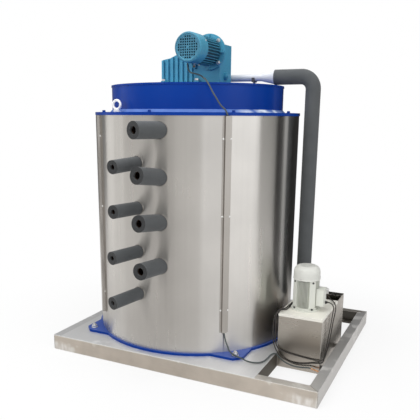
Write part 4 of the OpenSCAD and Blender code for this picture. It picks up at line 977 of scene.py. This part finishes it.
floor_mesh = bpy.data.meshes.new("floor")
floor_signs = ((-1, -1), (1, -1), (1, 1), (-1, 1))
floor_corners = [(FLOOR_HALF * x, FLOOR_HALF * y, 0) for x, y in floor_signs]
floor_mesh.from_pydata(floor_corners, [], [(0, 1, 2, 3)])
floor = bpy.data.objects.new("floor", floor_mesh)
scene.collection.objects.link(floor)
floor_finish, floor_shader, floor_place = start_finish("pale_floor")
feed(floor_shader, {
    "Base Color": floor_place.noise(1.5).blend((0.80, 0.80, 0.80), (0.84, 0.84, 0.84)),
    "Roughness": 0.9,
    "Specular IOR Level": 0.1,
})
floor_mesh.materials.append(floor_finish)
paths = floor_place.add("ShaderNodeLightPath", {}, {}, "Is Camera Ray")
mirrored = Wire(paths.socket.node.outputs["Is Glossy Ray"])
pure_white = (1.0, 1.0, 1.0, 1.0)
white_floor = paths.add("ShaderNodeEmission", {}, {"Color": pure_white, "Strength": 1.0}, "Emission")
off_middle = abs(floor_place.part("X") + 0.3)
across_floor = off_middle.rise(0.2, 1.5, kind="SMOOTHSTEP")
floor_grey = across_floor.blend((0.47, 0.45, 0.43), (0.81, 0.79, 0.77))
grey_floor = paths.add("ShaderNodeEmission", {}, {"Color": floor_grey, "Strength": 1.0}, "Emission")
fade = floor_place.length().rise(0.8, 2.0, low=0.8, high=1.0, kind="SMOOTHSTEP")
plain_floor = Wire(floor_shader.outputs[0])
lit = paths.add("ShaderNodeMixShader", {}, {0: mirrored * 0.8, 1: plain_floor, 2: grey_floor})
mixed = paths.add("ShaderNodeMixShader", {}, {0: paths * fade, 1: lit, 2: white_floor})
feed(floor_finish.node_tree.nodes["Material Output"], {"Surface": mixed})

world = bpy.data.worlds.new("white_surround")
world.use_nodes = True
scene.world = world
surround = world.node_tree.nodes["Background"]
ray = world.node_tree.nodes.new("ShaderNodeLightPath")
seen = Wire(ray.outputs["Is Camera Ray"])
for kind in ("Is Glossy Ray", "Is Transmission Ray"):
    seen = seen + Wire(ray.outputs[kind])
seen = seen.maths("MINIMUM", seen, 1.0)
feed(surround, {"Color": (1.0, 1.0, 1.0), "Strength": seen * (1.0 - SURROUND_LIGHT) + SURROUND_LIGHT})


def softbox(name, place, aim, wide, high, power):
    """A soft rectangular lamp that reflections do not see."""
    lamp = bpy.data.lights.new(name, "AREA")
    lamp.shape = "RECTANGLE"
    lamp.size, lamp.size_y, lamp.energy = wide, high, power
    made = bpy.data.objects.new(name, lamp)
    made.location = place
    made.visible_glossy = False
    made.rotation_euler = (Vector(aim) - Vector(place)).to_track_quat("-Z", "Y").to_euler()
    scene.collection.objects.link(made)


softbox("lamp_over", (-0.5, -0.8, 4.6), (0.0, 0.0, 0.8), wide=3.4, high=3.0, power=110)
softbox("lamp_front", (-1.6, -4.4, 2.8), (0.0, 0.0, 0.9), wide=2.4, high=2.4, power=80)
softbox("lamp_right", (4.2, -1.4, 2.6), (0.2, 0.0, 0.9), wide=1.6, high=2.4, power=50)


# Camera: a pinhole at the photograph's place, turned and shifted as the photograph's frame is.
# Its numbers were solved from the skid's corners, the jacket's edges and the stubs.
CAMERA_AT = (1.3617, -3.0593, 1.3664)
camera = bpy.data.objects.new("photo_view", bpy.data.cameras.new("photo_view"))
scene.collection.objects.link(camera)
scene.camera = camera
yaw, pitch, roll = math.radians(-26.284), math.radians(-13.467), math.radians(0.35)
ahead = Vector((math.sin(yaw) * math.cos(pitch), math.cos(yaw) * math.cos(pitch), math.sin(pitch)))
level = Vector((math.cos(yaw), -math.sin(yaw), 0.0))
above = level.cross(ahead)
across = level * math.cos(roll) + above * math.sin(roll)
upward = above * math.cos(roll) - level * math.sin(roll)
view = Matrix((across, upward, -ahead)).transposed()
camera.matrix_world = Matrix.Translation(CAMERA_AT) @ view.to_4x4()
camera.data.sensor_width, camera.data.lens = 36.0, 48.44
camera.data.shift_x, camera.data.shift_y = 0.0364, 0.0993
scene.view_settings.view_transform = "Standard"

bpy.context.view_layer.update()
